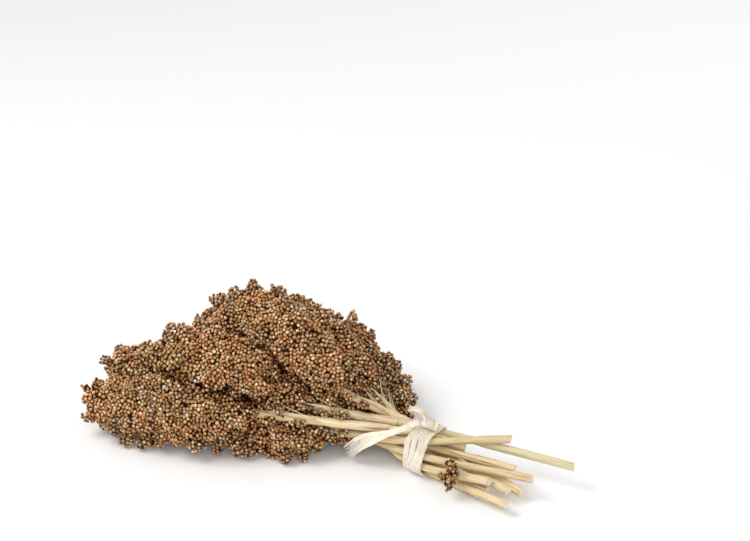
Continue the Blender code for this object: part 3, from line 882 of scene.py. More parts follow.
def gap_to(points, others):
    """Each point's distance from the nearest of the others."""
    tree = tree_of(others)
    return np.array([tree.find(point)[2] for point in points])


def sky_rays():
    """Directions over a half sphere around +Z, by the golden angle."""
    rows = []
    for step in range(SKY_RAYS):
        z = 1 - (step + 0.5) / SKY_RAYS * 0.93
        flat = math.sqrt(1 - z * z)
        turn = GOLDEN * step
        rows.append((flat * math.cos(turn), flat * math.sin(turn), z))
    return np.array(rows)


SKY = sky_rays()


def clear_rays(point, way, solid):
    """The directions around a way in which nothing is near."""
    start = point + way * RAY_START
    rays = turned_copies(SKY, np.zeros((1, 3)), way[None], np.ones((1, 3)), np.zeros(1))[0]
    return [ray for ray in rays if solid.ray_cast(start, ray, SKY_REACH)[0] is None]


def solid_of_nodes(names):
    """A tree of the triangles of several CAD nodes, for rays."""
    triangles = np.vstack([triangles_of(name) for name in names])
    faces = np.arange(len(triangles) * 3).reshape(-1, 3)
    return BVHTree.FromPolygons(triangles.reshape(-1, 3).tolist(), faces.tolist())


def core_part(triangles, sink):
    """The CAD solid drawn in by the sink, less where it is thin, as one body of painted shade under the
    grains.
    """
    points, corners = np.unique(np.round(triangles.reshape(-1, 3), 6), axis=0, return_inverse=True)
    corners = corners.reshape(-1, 3)
    cross = np.cross(triangles[:, 1] - triangles[:, 0], triangles[:, 2] - triangles[:, 0])
    normals = np.zeros_like(points)
    for corner in range(3):
        np.add.at(normals, corners[:, corner], cross)
    normals = unit(normals)
    depths = sink * np.array(CORE_DEPTHS)
    room = np.array([gap_to(points - normals * depth, points) for depth in depths])
    points = points - normals * depths[room.argmax(axis=0)][:, None]
    points[:, 2] = np.maximum(points[:, 2], CORE_FLOOR)
    return points, corners, SHADE_CORE, MIDDLE_MARK, NO_RUN


def boxed(points):
    """Grain centres kept inside the CAD model's box."""
    return np.clip(points, np.array(CAD_BOX[0]) + BOX_ROOM, np.array(CAD_BOX[1]) - BOX_ROOM)


def packed_grains(triangles, axis, ahead, chance):
    """Centres and ways of grains in two layers on a surface, gathered in small clusters."""
    points, normals, near = sampled_surface(triangles, axis, chance)
    heart = packed(points, chance.permutation(len(points)), CLUSTER_PITCH)
    hearts = tree_of(points[heart])
    found = [hearts.find(point) for point in points]
    cluster = np.array([entry[1] for entry in found])
    away = np.array([entry[2] for entry in found])
    lift = chance.normal(0, CLUSTER_UNEVEN, len(heart))[cluster]
    dome = CLUSTER_RISE * np.clip(1 - (away / (0.58 * CLUSTER_PITCH)) ** 2, -0.8, 1) + lift
    sink = np.minimum(GRAIN_SINK - dome + chance.normal(0, GRAIN_UNEVEN, len(points)), DEEPEST)
    top = boxed(points - normals * sink[:, None])
    first = packed(top, np.lexsort((away, cluster)), GRAIN_PITCH)
    splay = unit(points - points[heart][cluster])
    uneven = chance.normal(0, 0.20, points.shape)
    ways = unit(normals + CLUSTER_SPLAY * splay + TOWARD_TIP * ahead[near] + uneven)
    low = boxed(points - normals * (sink + UNDER_SINK)[:, None])
    free = np.flatnonzero(gap_to(low, top[first]) > UNDER_PITCH)
    second = free[packed(low[free], chance.permutation(len(free)), GRAIN_PITCH)]
    picked = np.concatenate((first, second))
    centres = np.vstack((top[first], low[second]))
    under = np.arange(len(picked)) >= len(first)
    return centres, ways[picked], points[picked], normals[picked], under


def sprig_grains(root, way, length, wide, chance):
    """Grains packed on a small spindle of branchlets that starts at its root."""
    side = unit(np.cross(way, (0.3, 0.2, 1.0)))
    up = np.cross(side, way)
    count = max(int(SPRIG_CROWD * length * wide / GRAIN_PITCH**2), SPRIG_LEAST)
    centres, ways = [], []
    for step in range(count):
        place = (step + 0.5) / count
        turn = GOLDEN * step + chance.uniform(-0.4, 0.4)
        out = side * math.cos(turn) + up * math.sin(turn)
        swell = (1 - abs(2 * place - 1) ** 3) ** 0.5
        reach = max(wide / 2 * swell - GRAIN_HALF * 0.4, SPRIG_THIN) * chance.uniform(0.75, 1.15)
        centres.append(root + way * length * place + out * reach)
        ways.append(out + way * (0.3 + 0.8 * place))
    return boxed(np.array(centres)), unit(np.array(ways))


def line_tube(points, radii, sides, slot, mark):
    """A closed tube along points, with a radius at each."""
    points = np.asarray(points, float)
    radii = np.broadcast_to(radii, len(points))
    turns = ring_turns(sides)
    ring = np.stack((np.cos(turns), np.sin(turns)), 1)
    along = lengths_along(points)
    rows, runs = [], []
    for (_, side, up), point, radius, place in zip(carried_frames(points), points, radii, along):
        rows.append(point + radius * (ring @ np.stack((side, up))))
        runs.append(columns(*(ring * radius).T, place))
    corners = np.vstack(rows + [points[:1], points[-1:]])
    runs = np.vstack(runs + [[(0, 0, along[0])], [(0, 0, along[-1])]])
    return corners, tube_faces(len(points), sides), slot, mark, runs


def tube_faces(rows, sides):
    """Triangles of a tube of rows times sides corners, its two end centres coming last."""
    ring = np.arange(sides)
    after = (ring + 1) % sides
    faces = []
    for row in range(rows - 1):
        low, high = row * sides, (row + 1) * sides
        faces.append(np.stack((low + ring, high + ring, low + after), 1))
        faces.append(np.stack((low + after, high + ring, high + after), 1))
    first, last = rows * sides, rows * sides + 1
    faces.append(np.stack((np.full(sides, first), ring, after), 1))
    end = (rows - 1) * sides
    faces.append(np.stack((np.full(sides, last), end + after, end + ring), 1))
    return np.vstack(faces)


def outer_sprigs(surface, normals, seen, axis, ahead, solid, chance):
    """Rows of root, way, length, width and light for sprigs on a head's outline and in its grooves."""
    rows = []
    for low, high, pitch, most, lengths, widths, light in SPRIGS:
        spots = np.flatnonzero((seen > low) & (seen <= high))
        chosen = packed(surface[spots], chance.permutation(len(spots)), pitch)
        for spot in spots[chosen][:most]:
            near = np.linalg.norm(axis - surface[spot], axis=1).argmin()
            length, wide = chance.uniform(*lengths), chance.uniform(*widths)
            clear = clear_rays(surface[spot], normals[spot], solid)
            out = unit(np.sum(clear, 0)) if clear else normals[spot]
            way = unit(out * 0.9 + ahead[near] * chance.uniform(0.25, 0.9))
            rows.append((surface[spot] - way * length * SPRIG_ROOTED, way, length, wide, light))
    return rows


def base_sprigs(rod, low, chance):
    """The same rows for sprigs along the stalk, from the head's base down to the place low."""
    rows = []
    for count in range(BASE_SPRIGS):
        place = HEAD_FROM - (HEAD_FROM - low) * (count + chance.uniform(0.2, 0.8)) / BASE_SPRIGS
        ahead, side, up = carried_frames(curve(rod, place, place + 0.02, 2))[0]
        root = curve(rod, place, place, 1)[0]
        turn = GOLDEN * count + chance.uniform(-0.3, 0.3)
        way = unit(ahead + (side * math.cos(turn) + up * math.sin(turn)) * 0.75)
        length, wide = chance.uniform(*BASE_LENGTHS), chance.uniform(*BASE_WIDTHS)
        rows.append((root + way * BASE_OUT, way, length, wide, 1.0))
    return rows


def placed_sprigs(name):
    """The same rows for the head's sprigs that stand out in the photograph."""
    rows = []
    for root, tip, wide in PLACED_SPRIGS.get(name, ()):
        root, tip = np.array(root) * 0.001, np.array(tip) * 0.001
        rows.append((root, unit(tip - root), float(np.linalg.norm(tip - root)), wide * 0.001, 1.0))
    return rows


def flakes(surface, normals, count, chance):
    """Small papery flakes and bristles caught among the grains."""
    parts = []
    steps = np.linspace(0, 1, 5)
    faces = [(step, step + 1, step + 6) for step in range(4)]
    faces += [(step, step + 6, step + 5) for step in range(4)]
    for spot in chance.choice(len(surface), min(count, len(surface)), replace=False):
        normal = normals[spot]
        way = unit(np.cross(normal, chance.normal(0, 1, 3)) + normal * chance.uniform(0.15, 0.9))
        wide = unit(np.cross(way, normal))
        length = chance.uniform(*FLAKE_LENGTHS)
        half = chance.uniform(*FLAKE_HALVES)
        bend = normal * chance.uniform(*FLAKE_BENDS)
        line = surface[spot] + normal * FLAKE_LIFT + np.outer(steps, way * length) + np.outer(steps**2, bend)
        line = boxed(line)
        spread = np.outer(half * np.sin(np.pi * (0.12 + 0.80 * steps)), wide)
        rows = np.vstack((line + spread, line - spread + normal * FLAKE_THICK))
        mark = (chance.uniform(0.75, 1.0), 0.5, 0.5, 1.0)
        parts.append((rows, np.array(faces), HUSK, mark, NO_RUN))
    return parts


def dress_head(index, name, rod, solid, materials, others):
    """One seed head: its core, its packed grains, and sprigs of grains on its outline and its base."""
    chance = np.random.default_rng(100 + index)
    axis = curve(rod, HEAD_FROM, HEAD_TO, AXIS_POINTS)
    ahead = carried_frames(axis)[:, 0]
    triangles = triangles_of("head_" + name)
    centres, ways, surface, normals, under = packed_grains(triangles, axis, ahead, chance)
    spots = zip(surface, normals)
    seen = np.array([len(clear_rays(point, normal, solid)) / SKY_RAYS for point, normal in spots])
    sprigs = placed_sprigs(name) + outer_sprigs(surface, normals, seen, axis, ahead, solid, chance)
    if name in BASE_FROM:
        sprigs += base_sprigs(rod, BASE_FROM[name], chance)
    parts = [core_part(triangles, CORE_SINK)]
    bits = flakes(surface[seen > 0.5], normals[seen > 0.5], FLAKES_PER_HEAD, chance)
    # Painted shade: grains of the lower layer count as half as open, so more of them are darkened.
    seen = np.where(under, seen * 0.5, seen)
    rows = []
    for root, way, length, wide, light in sprigs:
        sprig, sprig_ways = sprig_grains(root, way, length, wide, chance)
        rows.append(np.column_stack((sprig, sprig_ways, columns(light, np.ones(len(sprig))))))
        stem = boxed(root + np.outer(STEM_PLACES, way * length))
        parts.append(line_tube(stem, STEM_RADII, 5, HUSK, STEM_MARK))
    packed_rows = np.column_stack((centres, ways, seen, np.zeros(len(seen))))
    rows = np.vstack(rows + [packed_rows[seen > 0]])
    rows = rows[packed(rows[:, :3], np.arange(len(rows)), CROWDED)]
    rows = rows[gap_to(rows[:, :3], STALK_LINES) > STALK_ROOM]
    rows = rows[gap_to(rows[:, :3], BLADE_LINES) > BLADE_ROOM]
    if others:
        rows = rows[gap_to(rows[:, :3], np.vstack(others)) > CROWDED]
    others.append(rows[:, :3])
    parts += bits
    parts += grain_parts(rows[:, :3], rows[:, 3:6], rows[:, 6], rows[:, 7] > 0, chance)
    dress_node("head_" + name, "_grains", parts, materials)


def dress_loose_sprig(materials):
    """The broken sprig on the front of the stalks."""
    chance = np.random.default_rng(7)
    triangles = triangles_of("loose_sprig")
    low, high = (np.array(corner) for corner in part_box("loose_sprig"))
    inward = np.array((-1, 1, 1)) * LOOSE_INSET
    foot = np.array((high[0], low[1], low[2])) + inward
    top = np.array((low[0], high[1], high[2])) - inward
    axis = foot + np.outer(np.linspace(0, 1, 20), top - foot)
    ahead = np.tile(unit(axis[0] - axis[-1]), (20, 1))
    centres, ways, _, _, _ = packed_grains(triangles, axis, ahead, chance)
    for spot, way in LOOSE_SPRIGS:
        sprig, sprig_ways = sprig_grains(axis[spot], unit(np.array(way)), *LOOSE_SIZE, chance)
        centres, ways = np.vstack((centres, sprig)), np.vstack((ways, sprig_ways))
    keep = packed(centres, np.arange(len(centres)), CROWDED)
    stem = line_tube(axis, LOOSE_STEM, 6, HUSK, (0.8, 0.5, 0.5, 1.0))
    parts = [core_part(triangles, CORE_SINK * 0.7), stem]
    parts += grain_parts(centres[keep], ways[keep], np.ones(len(keep)), np.ones(len(keep), bool), chance)
    dress_node("loose_sprig", "_grains", parts, materials)


def cut_end(point, ahead, side, up, radius, tilt, lean):
    """The slanted cut face: a thin rind around sunken pith. The ring at its edge is the stalk's own."""
    turns = ring_turns(STALK_CORNERS)
    rows = []
    for share, sunk in CUT_RINGS:
        slant = np.tan(tilt) * (np.cos(turns - lean) * share + 1) * radius
        flat = np.outer(np.cos(turns), side) + np.outer(np.sin(turns), up)
        rows.append(point + flat * radius * share + np.outer(slant + sunk, ahead))
    corners = np.vstack(rows + [[point + ahead * (PITH_SUNK + math.tan(tilt) * radius)]])
    ring = np.arange(STALK_CORNERS)
    after = (ring + 1) % STALK_CORNERS
    faces = []
    for row in range(len(CUT_RINGS) - 1):
        low, high = row * STALK_CORNERS, (row + 1) * STALK_CORNERS
        faces.append(np.stack((low + ring, low + after, high + after), 1))
        faces.append(np.stack((low + ring, high + after, high + ring), 1))
    last = (len(CUT_RINGS) - 1) * STALK_CORNERS
    faces.append(np.stack((last + ring, last + after, np.full(STALK_CORNERS, last + STALK_CORNERS)), 1))
    return corners, np.vstack(faces), PITH, MIDDLE_MARK, NO_RUN


def stalk_parts(name, index, rod, chance):
    """One stalk from its slanted cut to inside its head, stepped where its leaf sheaths end."""
    step_at = SHEATH_ENDS[index % len(SHEATH_ENDS)]
    places = np.linspace(0, STALK_TO, STALK_ROWS)
    points = np.array([curve(rod, place, place, 1)[0] for place in places])
    frames = carried_frames(points)
    turns = ring_turns(STALK_CORNERS)
    lean, tilt, phase = chance.uniform(0, 6), math.radians(chance.uniform(8, 20)), chance.uniform(0, 6)
    steps = lengths_along(points)
    rows, runs, marks = [], [], []
    green = GREEN_SHARE if name == GREEN_STALK else 0.03
    tint = chance.uniform(0.15, 0.95)
    for place, point, (ahead, side, up), along in zip(places, points, frames, steps):
        edge = step_at + 0.035 * np.cos(turns - phase) + 0.008 * np.sin(5 * turns + phase)
        wrapped = (place <= edge) | ((place > 1.12 + 0.02 * np.cos(turns)) & (place < 1.9))
        radius = np.where(wrapped, STALK_RADIUS, BARE_RADIUS)
        radius = radius - STALK_RIDGE * (1 + np.cos(11 * turns + phase))
        radius = radius - STALK_WAVE * (1 + np.sin(3 * turns + 60 * along))
        flat = np.outer(np.cos(turns), side) + np.outer(np.sin(turns), up)
        slant = np.tan(tilt) * (np.cos(turns - lean) + 1) * radius * max(1 - along / SLANT_REACH, 0)
        rows.append(point + flat * radius[:, None] + np.outer(slant, ahead))
        runs.append(columns(np.cos(turns) * radius, np.sin(turns) * radius, along))
        marks.append(columns(tint, np.where(wrapped & (place < 1), 0.55, 0.0), green, 1.0))
    end = len(rows) * STALK_CORNERS
    corners = np.vstack(rows + [points[-1:]])
    runs = np.vstack(runs + [[(0, 0, steps[-1])]])
    marks = np.vstack(marks + [[(tint, 0, green, 1)]])
    ring = np.arange(STALK_CORNERS)
    last = end - STALK_CORNERS
    cap = np.stack((np.full(STALK_CORNERS, end), last + (ring + 1) % STALK_CORNERS, last + ring), 1)
    faces = np.vstack((tube_faces(len(rows), STALK_CORNERS)[: -2 * STALK_CORNERS], cap))
    stalk = (corners, faces, STRAW, marks, runs + chance.uniform(0, 9, 3))
    return [stalk, cut_end(points[0], *frames[0], BARE_RADIUS + CUT_RIM, tilt, lean)]


def blade_line(name, rod):
    """The middle line of a stalk's pointed leaf sheath: along the stalk, then lifting off it."""
    start, length, lift, lean = BLADES[name]
    stalk = curve(rod, 0, 2, 161)
    root = int(start * 80)
    point = stalk[root].copy()
    line = [point.copy()]
    way = stalk[root + 1] - stalk[root]
    way /= np.linalg.norm(way)
    side = np.cross(way, (0.0, 0.0, 1.0))
    side /= np.linalg.norm(side)
    rise = np.cross(side, way) * math.cos(math.radians(lean)) + side * math.sin(math.radians(lean))
    for step in range(1, 7):
        angle = math.radians(lift) * (1.25 - 0.12 * step)
        point = point + (way * math.cos(angle) + rise * math.sin(angle)) * length / 6
        line.append(point.copy())
    return np.array(line), np.cross(rise, way)


def leaf_parts(name, rod, chance):
    """A leaf sheath that wraps its stalk, opens and ends in a torn pointed tongue."""
    start = BLADES[name][0]
    free, wide = blade_line(name, rod)
    wrapped = curve(rod, max(start - 0.30, 1.13), start, 12)[:-1]
    share = np.linspace(0, 1, 30)
    free = np.stack([np.interp(share, np.linspace(0, 1, len(free)), values) for values in free.T], 1)
    line = np.vstack((wrapped, free))
    places = np.concatenate((np.linspace(-0.35, 0, len(wrapped), endpoint=False), share))
    rows, runs, marks = [], [], []
    curl, phase = chance.uniform(0.2, 0.5), chance.uniform(0, 6)
    for point, (ahead, _, _), place, far in zip(line, carried_frames(line), places, lengths_along(line)):
        across = unit(wide - ahead * wide.dot(ahead))
        rise = np.cross(ahead, across)
        rise = rise if rise.dot(np.cross(wide, free[0] - free[-1])) > 0 else -rise
        opened = min(max((place + 0.10) / 0.35, 0), 1)
        shut = (STALK_RADIUS + LEAF_THICK) * (1 - opened)
        bend = shut + opened * (TONGUE_CURL + 0.004 * place)
        half = SHEATH_HALF * (1 - opened) + opened * TONGUE_HALF * max(1 - max(place, 0) ** 1.3, 0.07)
        crown = shut + opened * TONGUE_LIFT
        ragged = 1 + 0.10 * math.sin(9 * place + phase) * opened
        angles = np.linspace(-half * ragged / bend, half / bend, LEAF_ACROSS)
        turned = angles + curl * max(place - 0.4, 0)
        normals = np.outer(np.cos(turned), rise) + np.outer(np.sin(turned), across)
        ripple = LEAF_RIPPLE * np.sin(angles * bend * 5200 + phase)
        foot = point + rise * (crown - bend)
        outer = foot + normals * (bend + ripple)[:, None]
        inner = foot + normals * (bend - LEAF_THICK)
        rows.append(np.vstack((outer, inner[::-1])))
        there = np.concatenate((angles, angles[::-1]))
        runs.append(columns(there * bend, 0.0, far))
        brown = 0.25 + 0.35 * np.abs(there / (half / bend)) ** 3
        marks.append(columns(0.75 - brown * 0.5 - 0.25 * max(place, 0) ** 3, 1.0, 0.0, 1.0))
    corners = np.vstack(rows + [line[:1] + rise * 0.004, line[-1:]])
    runs = np.vstack(runs + [runs[0][:1], runs[-1][:1]])
    marks = np.vstack(marks + [marks[0][:1], marks[-1][:1]])
    faces = tube_faces(len(line), 2 * LEAF_ACROSS)
    tongue = (corners, faces, STRAW, marks, runs + chance.uniform(0, 9, 3))
    return [tongue] + torn_strips(free, wide, chance)


def torn_strips(free, wide, chance):
    """Narrow strips torn from a leaf sheath, which leave its tongue at small angles."""
    parts = []
    ring = ring_turns(4)
    steps = np.linspace(0, 1, 12)[:, None]
    for strip in range(TORN_STRIPS):
        start = int(len(free) * chance.uniform(0.05, 0.62))
        way = unit(free[start + 4] - free[start])
        across = unit(wide - way * wide.dot(way))
        rise = np.cross(way, across)
        rise = rise if rise[2] > 0 else -rise
        lean = (1 if strip % 2 else -1) * chance.uniform(0.08, 0.42)
        length = chance.uniform(*STRIP_LENGTHS)
        line = free[start] + across * lean * 0.004 + length * steps * (way + across * lean)
        bend = rise * chance.uniform(0.0, 0.28) + across * chance.uniform(-0.22, 0.22)
        line = line + length * steps**2 * bend
        half = chance.uniform(*STRIP_HALVES) * np.sin(np.pi * (0.25 + 0.72 * steps[:, 0]))
        flat = np.outer(np.sin(ring), rise) * STRIP_THICK
        rows = [point + np.outer(np.cos(ring), across) * size + flat for point, size in zip(line, half)]
        corners = np.vstack(rows + [line[:1], line[-1:]])
        mark = (chance.uniform(0.55, 1.0), 1.0, 0.0, 1.0)
        runs = columns(0.0, 0.0, np.linspace(0, length, len(corners)))
        parts.append((corners, tube_faces(len(line), 4), STRAW, mark, runs))
    return parts


def dress_stalk(index, name, rod, materials):
    """One stalk with its cut face and, where it has one, its leaf sheath."""
    chance = np.random.default_rng(300 + index)
    parts = stalk_parts(name, index, rod, chance)
    if name in BLADES:
        parts += leaf_parts(name, rod, chance)
    dress_node("stalk_" + name, "_straw", parts, materials)


def bundle_reach(stalks, x_low, x_high, turn):
    """How far the stalks between two planes reach from the ring's middle, at one turn around it."""
    near = stalks[(stalks[:, 0] > x_low) & (stalks[:, 0] < x_high)]
    turns = np.linspace(0, 2 * math.pi, 96, endpoint=False)
    sweep = np.outer(near[:, 1] - WAIST_Y, np.cos(turns))
    sweep = sweep + np.outer(near[:, 2] - WAIST_MID_Z, np.sin(turns))
    support = sweep.max(0) + STALK_RADIUS + WRAP_GAP
    facing = np.cos(turn - turns)
    return float((support[facing > 0.2] / facing[facing > 0.2]).min())


def strand_parts(line, halves, thick, wide, chance, fibres, twist, fray=0.0):
    """A flat strand of twine: a solid heart and separate fibres around it, spread toward a frayed end."""
    line = np.asarray(line, float)
    count = len(line)
    halves = np.broadcast_to(halves, count)
    ahead = carried_frames(line)[:, 0]
    across = unit(wide - ahead * (wide * ahead).sum(1, keepdims=True))
    normal = np.cross(ahead, across)
    along = lengths_along(line)
    share = along / along[-1]
    heart_end = int(count * (1 - 0.55 * fray)) if fray else count
    turns = ring_turns(HEART_CORNERS)
    rows = [line[row] + 0.86 * halves[row] * np.outer(np.cos(turns), across[row])
            + 0.72 * thick * np.outer(np.sin(turns), normal[row]) for row in range(heart_end)]
    heart = np.vstack(rows + [line[:1], line[heart_end - 1 : heart_end]])
    runs = columns(np.resize(np.cos(turns), len(heart)) * 0.003, 0.0,
                   np.resize(np.repeat(along[:heart_end], HEART_CORNERS), len(heart)))
    parts = [(heart, tube_faces(heart_end, HEART_CORNERS), TWINE, HEART_MARK, runs)]
    for fibre in range(fibres):
        turn = 2 * math.pi * (fibre + chance.uniform(-0.3, 0.3)) / fibres + twist * along
        wander = chance.uniform(0, 6, 4)
        sway = sum(far * np.sin(along * often + start) for (far, often), start in zip(SWAYS, wander))
        loose = np.maximum((share - (1 - fray)) / max(fray, 1e-6), 0) if fray else np.zeros(count)
        spread = 1 + 0.06 * loose * chance.uniform(-1, 1)
        sideways = halves * np.cos(turn) * spread + sway
        lifted = thick * np.sin(turn) * (1 + 0.8 * loose) + FRAY_LIFT * loose**2 * math.sin(wander[2])
        path = line + across * sideways[:, None] + normal * lifted[:, None]
        last = count
        if fray and fibre % 3:
            last -= chance.integers(0, int(0.3 * fray * count))
        radius = chance.uniform(*FIBRE_RADII) * (1 - 0.45 * loose[:last])
        mark = (chance.uniform(0, 1), 0.5, 0.5, 1.0)
        parts.append(line_tube(path[:last], radius, 5, TWINE, mark))
    return parts


def hairs(points, outward, chance, count, longest):
    """Fine stray fibres that curl out of the twine."""
    parts = []
    steps = np.linspace(0, 1, 7)[:, None]
    for pick in chance.choice(len(points), count):
        way = unit(outward[pick] * 0.5 + chance.normal(0, 1, 3) * 0.6)
        bend = chance.normal(0, 1, 3) * 0.25
        length = chance.uniform(0.45, 1) * longest
        path = points[pick] + length * (way * steps + bend * steps**2)
        path[:, 2] = np.maximum(path[:, 2], HAIR_LOWEST)
        parts.append(line_tube(path, HAIR_RADIUS, 4, TWINE, HAIR_MARK))
    return parts


def dress_wraps(stalks, material):
    """The twine's turns around the waist, each a flat strand of fibres."""
    chance = np.random.default_rng(500)
    pitch = WRAP_WIDTH / STRANDS
    turns = np.linspace(0, 2 * math.pi, WRAP_POINTS)
    outward = columns(0.0, np.cos(turns), np.sin(turns))
    wide = np.tile((1.0, 0.0, 0.0), (WRAP_POINTS, 1))
    parts, spots, ways = [], [], []
    for strand in range(STRANDS):
        place = -WRAP_WIDTH / 2 + pitch * (strand + 0.5)
        drift = WRAP_DRIFT * np.sin(2 * turns + 1.7 * strand)
        x = WAIST_X + WRAP_AHEAD + place + WRAP_SKEW * np.sin(turns) + drift
        slices = zip(x - WRAP_SLICE, x + WRAP_SLICE, turns)
        reach = np.array([bundle_reach(stalks, low, high, turn) for low, high, turn in slices])
        rise = reach + STRAND_THICK + WRAP_UNEVEN * np.sin(3 * turns + strand)
        line = columns(x, WAIST_Y + rise * np.cos(turns), WAIST_MID_Z + rise * np.sin(turns))
        line[:, 2] = np.maximum(line[:, 2], WRAP_LOWEST)
        parts += strand_parts(line, pitch / 2, STRAND_THICK, wide, chance, fibres=13, twist=90.0)
        spots.append(line + outward * 0.001)
        ways.append(outward)
    parts += hairs(np.vstack(spots), np.vstack(ways), chance, count=46, longest=0.009)
    dress_node("tie_wraps", "_twine", parts, [material])


def dress_knot(stalks, material):
    """The knot on the upper back of the band, with the twine's short second end arching from it."""
    chance = np.random.default_rng(501)
    turn = math.radians(KNOT_TURN)
    x = WAIST_X + KNOT_AHEAD
    reach = bundle_reach(stalks, x - KNOT_HALF, x + KNOT_HALF, turn) + WRAP_THICK + CLEAR
    out = np.array((0, math.cos(turn), math.sin(turn)))
    round_way = np.array((0, -math.sin(turn), math.cos(turn)))
    ahead = np.array((1.0, 0, 0))
    seat = np.array((x, WAIST_Y, WAIST_MID_Z)) + out * (reach + KNOT_RISE)
    core = smooth_line([seat + ahead * 0.001 * along - out * 0.0004 * abs(along) / 8
                        for along in (-9, -6, -2, 2, 6, 9)], 24)
    swell = 0.0026 + 0.0030 * np.sin(np.pi * np.linspace(0.06, 0.94, 24))
    wide = np.tile(round_way, (24, 1))
    parts = strand_parts(core, swell, KNOT_THICK, wide, chance, fibres=26, twist=260.0)
    over = []
    for step in range(7):
        arc = math.radians(-75 + 25 * step)
        sideways = (round_way * LOOP_REACH + ahead * LOOP_LEAN) * math.sin(arc)
        over.append(seat + sideways + out * (LOOP_HIGH * math.cos(arc) - LOOP_SUNK))
    over = smooth_line(over, 28)
    wide = np.tile(ahead, (28, 1))
    parts += strand_parts(over, LOOP_HALF, LOOP_THICK, wide, chance, fibres=18, twist=60.0)
    end = [seat + round_way * 0.004 + out * 0.001]
    end += [seat + np.array(offset) * 0.001 for offset in SECOND_END]
    end = smooth_line(end, 40)
    wide = np.tile((0.25, 1.0, 0.1), (40, 1))
    halves = np.linspace(0.0025, 0.0040, 40)
    parts += strand_parts(end, halves, STRAND_THICK, wide, chance, fibres=20, twist=50.0, fray=0.3)
    spots = np.vstack((core, over, end))
    parts += hairs(spots, np.tile(out, (len(spots), 1)), chance, count=26, longest=0.009)
    dress_node("tie_knot", "_twine", parts, [material])


def smooth_line(points, count):
    """A smooth curve through the points, in cubic pieces."""
    points = np.asarray(points, float)
    places = np.linspace(0, len(points) - 1, count)
    rows = []
    for place in places:
        span = min(int(place), len(points) - 2)
        t = place - span
        before = points[max(span - 1, 0)]
        a, b = points[span], points[span + 1]
        after = points[min(span + 2, len(points) - 1)]
        rows.append(0.5 * (2 * a + (b - before) * t + (2 * before - 5 * a + 4 * b - after) * t**2
                           + (3 * a - before - 3 * b + after) * t**3))
    return np.array(rows)


def tail_line(stalks):
    """The loose tail's middle line: from the knot over the band and down the front of the stalks."""
    line = curve(np.array(TAIL_ROUTE) + (WAIST_X, WAIST_Y, 0), 0, 4, 22)
    normal = unit(np.array(TAIL_FACING))
    lifts = []
    for point, (ahead, _, _) in zip(line, carried_frames(line)):
        across = np.cross(normal, ahead)
        away = stalks - point
        beside = (np.abs(away @ across) < TAIL_BESIDE) & (np.abs(away @ ahead) < TAIL_ALONG)
        height = (away @ normal)[beside].max() if beside.any() else -1.0
        if point[0] > WAIST_X + WRAP_AHEAD - BAND_BEHIND:
            height += WRAP_THICK + WRAP_GAP
        lifts.append(max(height + STALK_RADIUS + TAIL_THICK + TAIL_ROOM, TAIL_LOWEST))
    lifts = np.array([max(lifts[max(step - 2, 0) : step + 3]) for step in range(len(lifts))])
    lifts = np.convolve(np.pad(lifts, 2, mode="edge"), np.full(5, 0.2), mode="valid")
    return line + normal * lifts[:, None], normal


def dress_tail(stalks, material):
    """The loose tail of the twine, a free flat cord that frays toward its end."""
    chance = np.random.default_rng(502)
    line, normal = tail_line(stalks)
    line = smooth_line(line, 40)
    wide = np.cross(normal, carried_frames(line)[:, 0])
    opened = np.clip((np.linspace(0, 1, len(line)) - 0.30) / 0.42, 0, 1)
    halves = TAIL_HALF + TAIL_WIDENS * opened**2 * (3 - 2 * opened)
    parts = strand_parts(line, halves, TAIL_THICK, wide, chance, fibres=44, twist=14.0, fray=0.42)
    flat_way = np.tile(normal, (len(line) - 5, 1))
    parts += hairs(line[5:], flat_way, chance, count=26, longest=0.0052)
    ends = line[-12:] + wide[-12:] * (halves[-12:] * chance.uniform(-0.8, 0.8, 12))[:, None]
    parts += hairs(ends, wide[-12:], chance, count=44, longest=0.0040)
    piece = dress_node("tie_tail", "_twine", parts, [material])


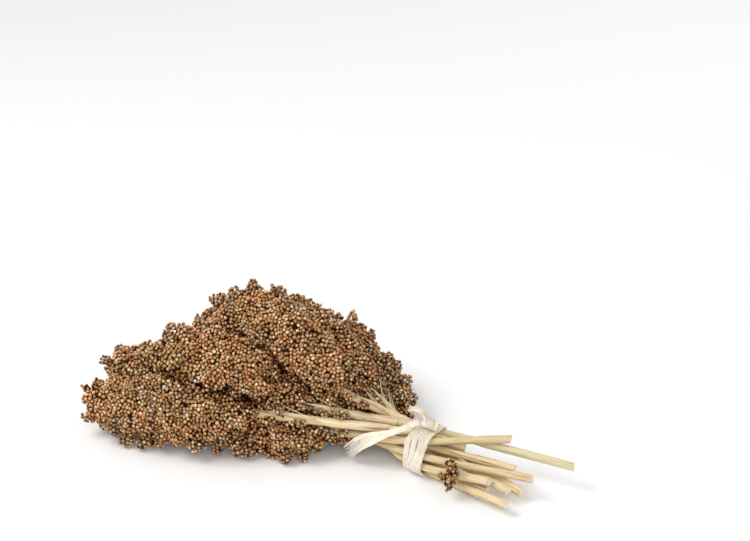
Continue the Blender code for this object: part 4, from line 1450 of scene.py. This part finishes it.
def add_floor_and_light():
    """A pale plain floor, an even white sky and three soft lamps."""
    floor = bpy.data.meshes.new("floor")
    corners = [(x * FLOOR_HALF, y * FLOOR_HALF, 0) for x, y in ((-1, -1), (1, -1), (1, 1), (-1, 1))]
    floor.from_pydata(corners, [], [(0, 1, 2, 3)])
    material, _, shader = new_material("floor", 0.9, Specular_IOR_Level=0.1)
    shader.inputs["Base Color"].default_value = (0.90, 0.90, 0.90, 1)
    floor.materials.append(material)
    ground = bpy.data.objects.new("floor", floor)
    bpy.context.scene.collection.objects.link(ground)
    world = bpy.data.worlds.new("studio")
    world.use_nodes = True
    background = world.node_tree.nodes["Background"]
    background.inputs["Color"].default_value = (1, 1, 1, 1)
    background.inputs["Strength"].default_value = SKY_STRENGTH
    bpy.context.scene.world = world
    for name, (place, size, power) in LAMPS.items():
        light = bpy.data.lights.new(name, "AREA")
        light.energy = power
        light.size = size
        lamp = bpy.data.objects.new(name, light)
        lamp.location = place
        aim = Vector(LAMPS_AIM) - Vector(place)
        lamp.rotation_euler = aim.to_track_quat("-Z", "Y").to_euler()
        bpy.context.scene.collection.objects.link(lamp)


def add_camera():
    """The photograph's view: across, level and up are the directions in it."""
    turn, height = math.radians(VIEW_TURN), math.radians(VIEW_HEIGHT)
    across = Vector((math.cos(turn), math.sin(turn), 0))
    level = Vector((-math.sin(turn), math.cos(turn), 0))
    ahead = level * math.cos(height) - Vector((0, 0, math.sin(height)))
    up = level * math.sin(height) + Vector((0, 0, math.cos(height)))
    target = Vector((WAIST_X, WAIST_Y, 0)) + across * VIEW_CENTRE_ACROSS + up * VIEW_CENTRE_UP
    camera = bpy.data.objects.new("camera", bpy.data.cameras.new("camera"))
    camera.location = target - ahead * VIEW_DISTANCE
    camera.rotation_mode = "QUATERNION"
    camera.rotation_quaternion = ahead.to_track_quat("-Z", "Y")
    camera.data.lens = camera.data.sensor_width * VIEW_DISTANCE / VIEW_WIDTH
    camera.data.clip_start = 0.01
    bpy.context.scene.collection.objects.link(camera)
    bpy.context.scene.camera = camera


add_camera()
add_floor_and_light()
bpy.context.scene.view_settings.view_transform = "Standard"

rods = settle()
solid = solid_of_nodes([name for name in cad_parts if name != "tie_tail"])
grain_looks = [grain_material(), shade_core_material(), husk_material()]
STALK_LINES = np.vstack([curve(rod, 0, BARE_TO, 200) for rod in rods])
rod_of = dict(zip(HEADS, rods))
BLADE_LINES = np.vstack([smooth_line(blade_line(name, rod_of[name])[0], 40) for name in BLADES])
placed = []
for index, (name, rod) in enumerate(rod_of.items()):
    dress_head(index, name, rod, solid, grain_looks, placed)
dress_loose_sprig(grain_looks)
straw_looks = [straw_material(), pith_material()]
for index, (name, rod) in enumerate(rod_of.items()):
    dress_stalk(index, name, rod, straw_looks)
twine = twine_material()
stalks = np.vstack([curve(rod, 0, 2, 360) for rod in rods])
dress_wraps(stalks, twine)
dress_knot(stalks, twine)
dress_tail(stalks, twine)
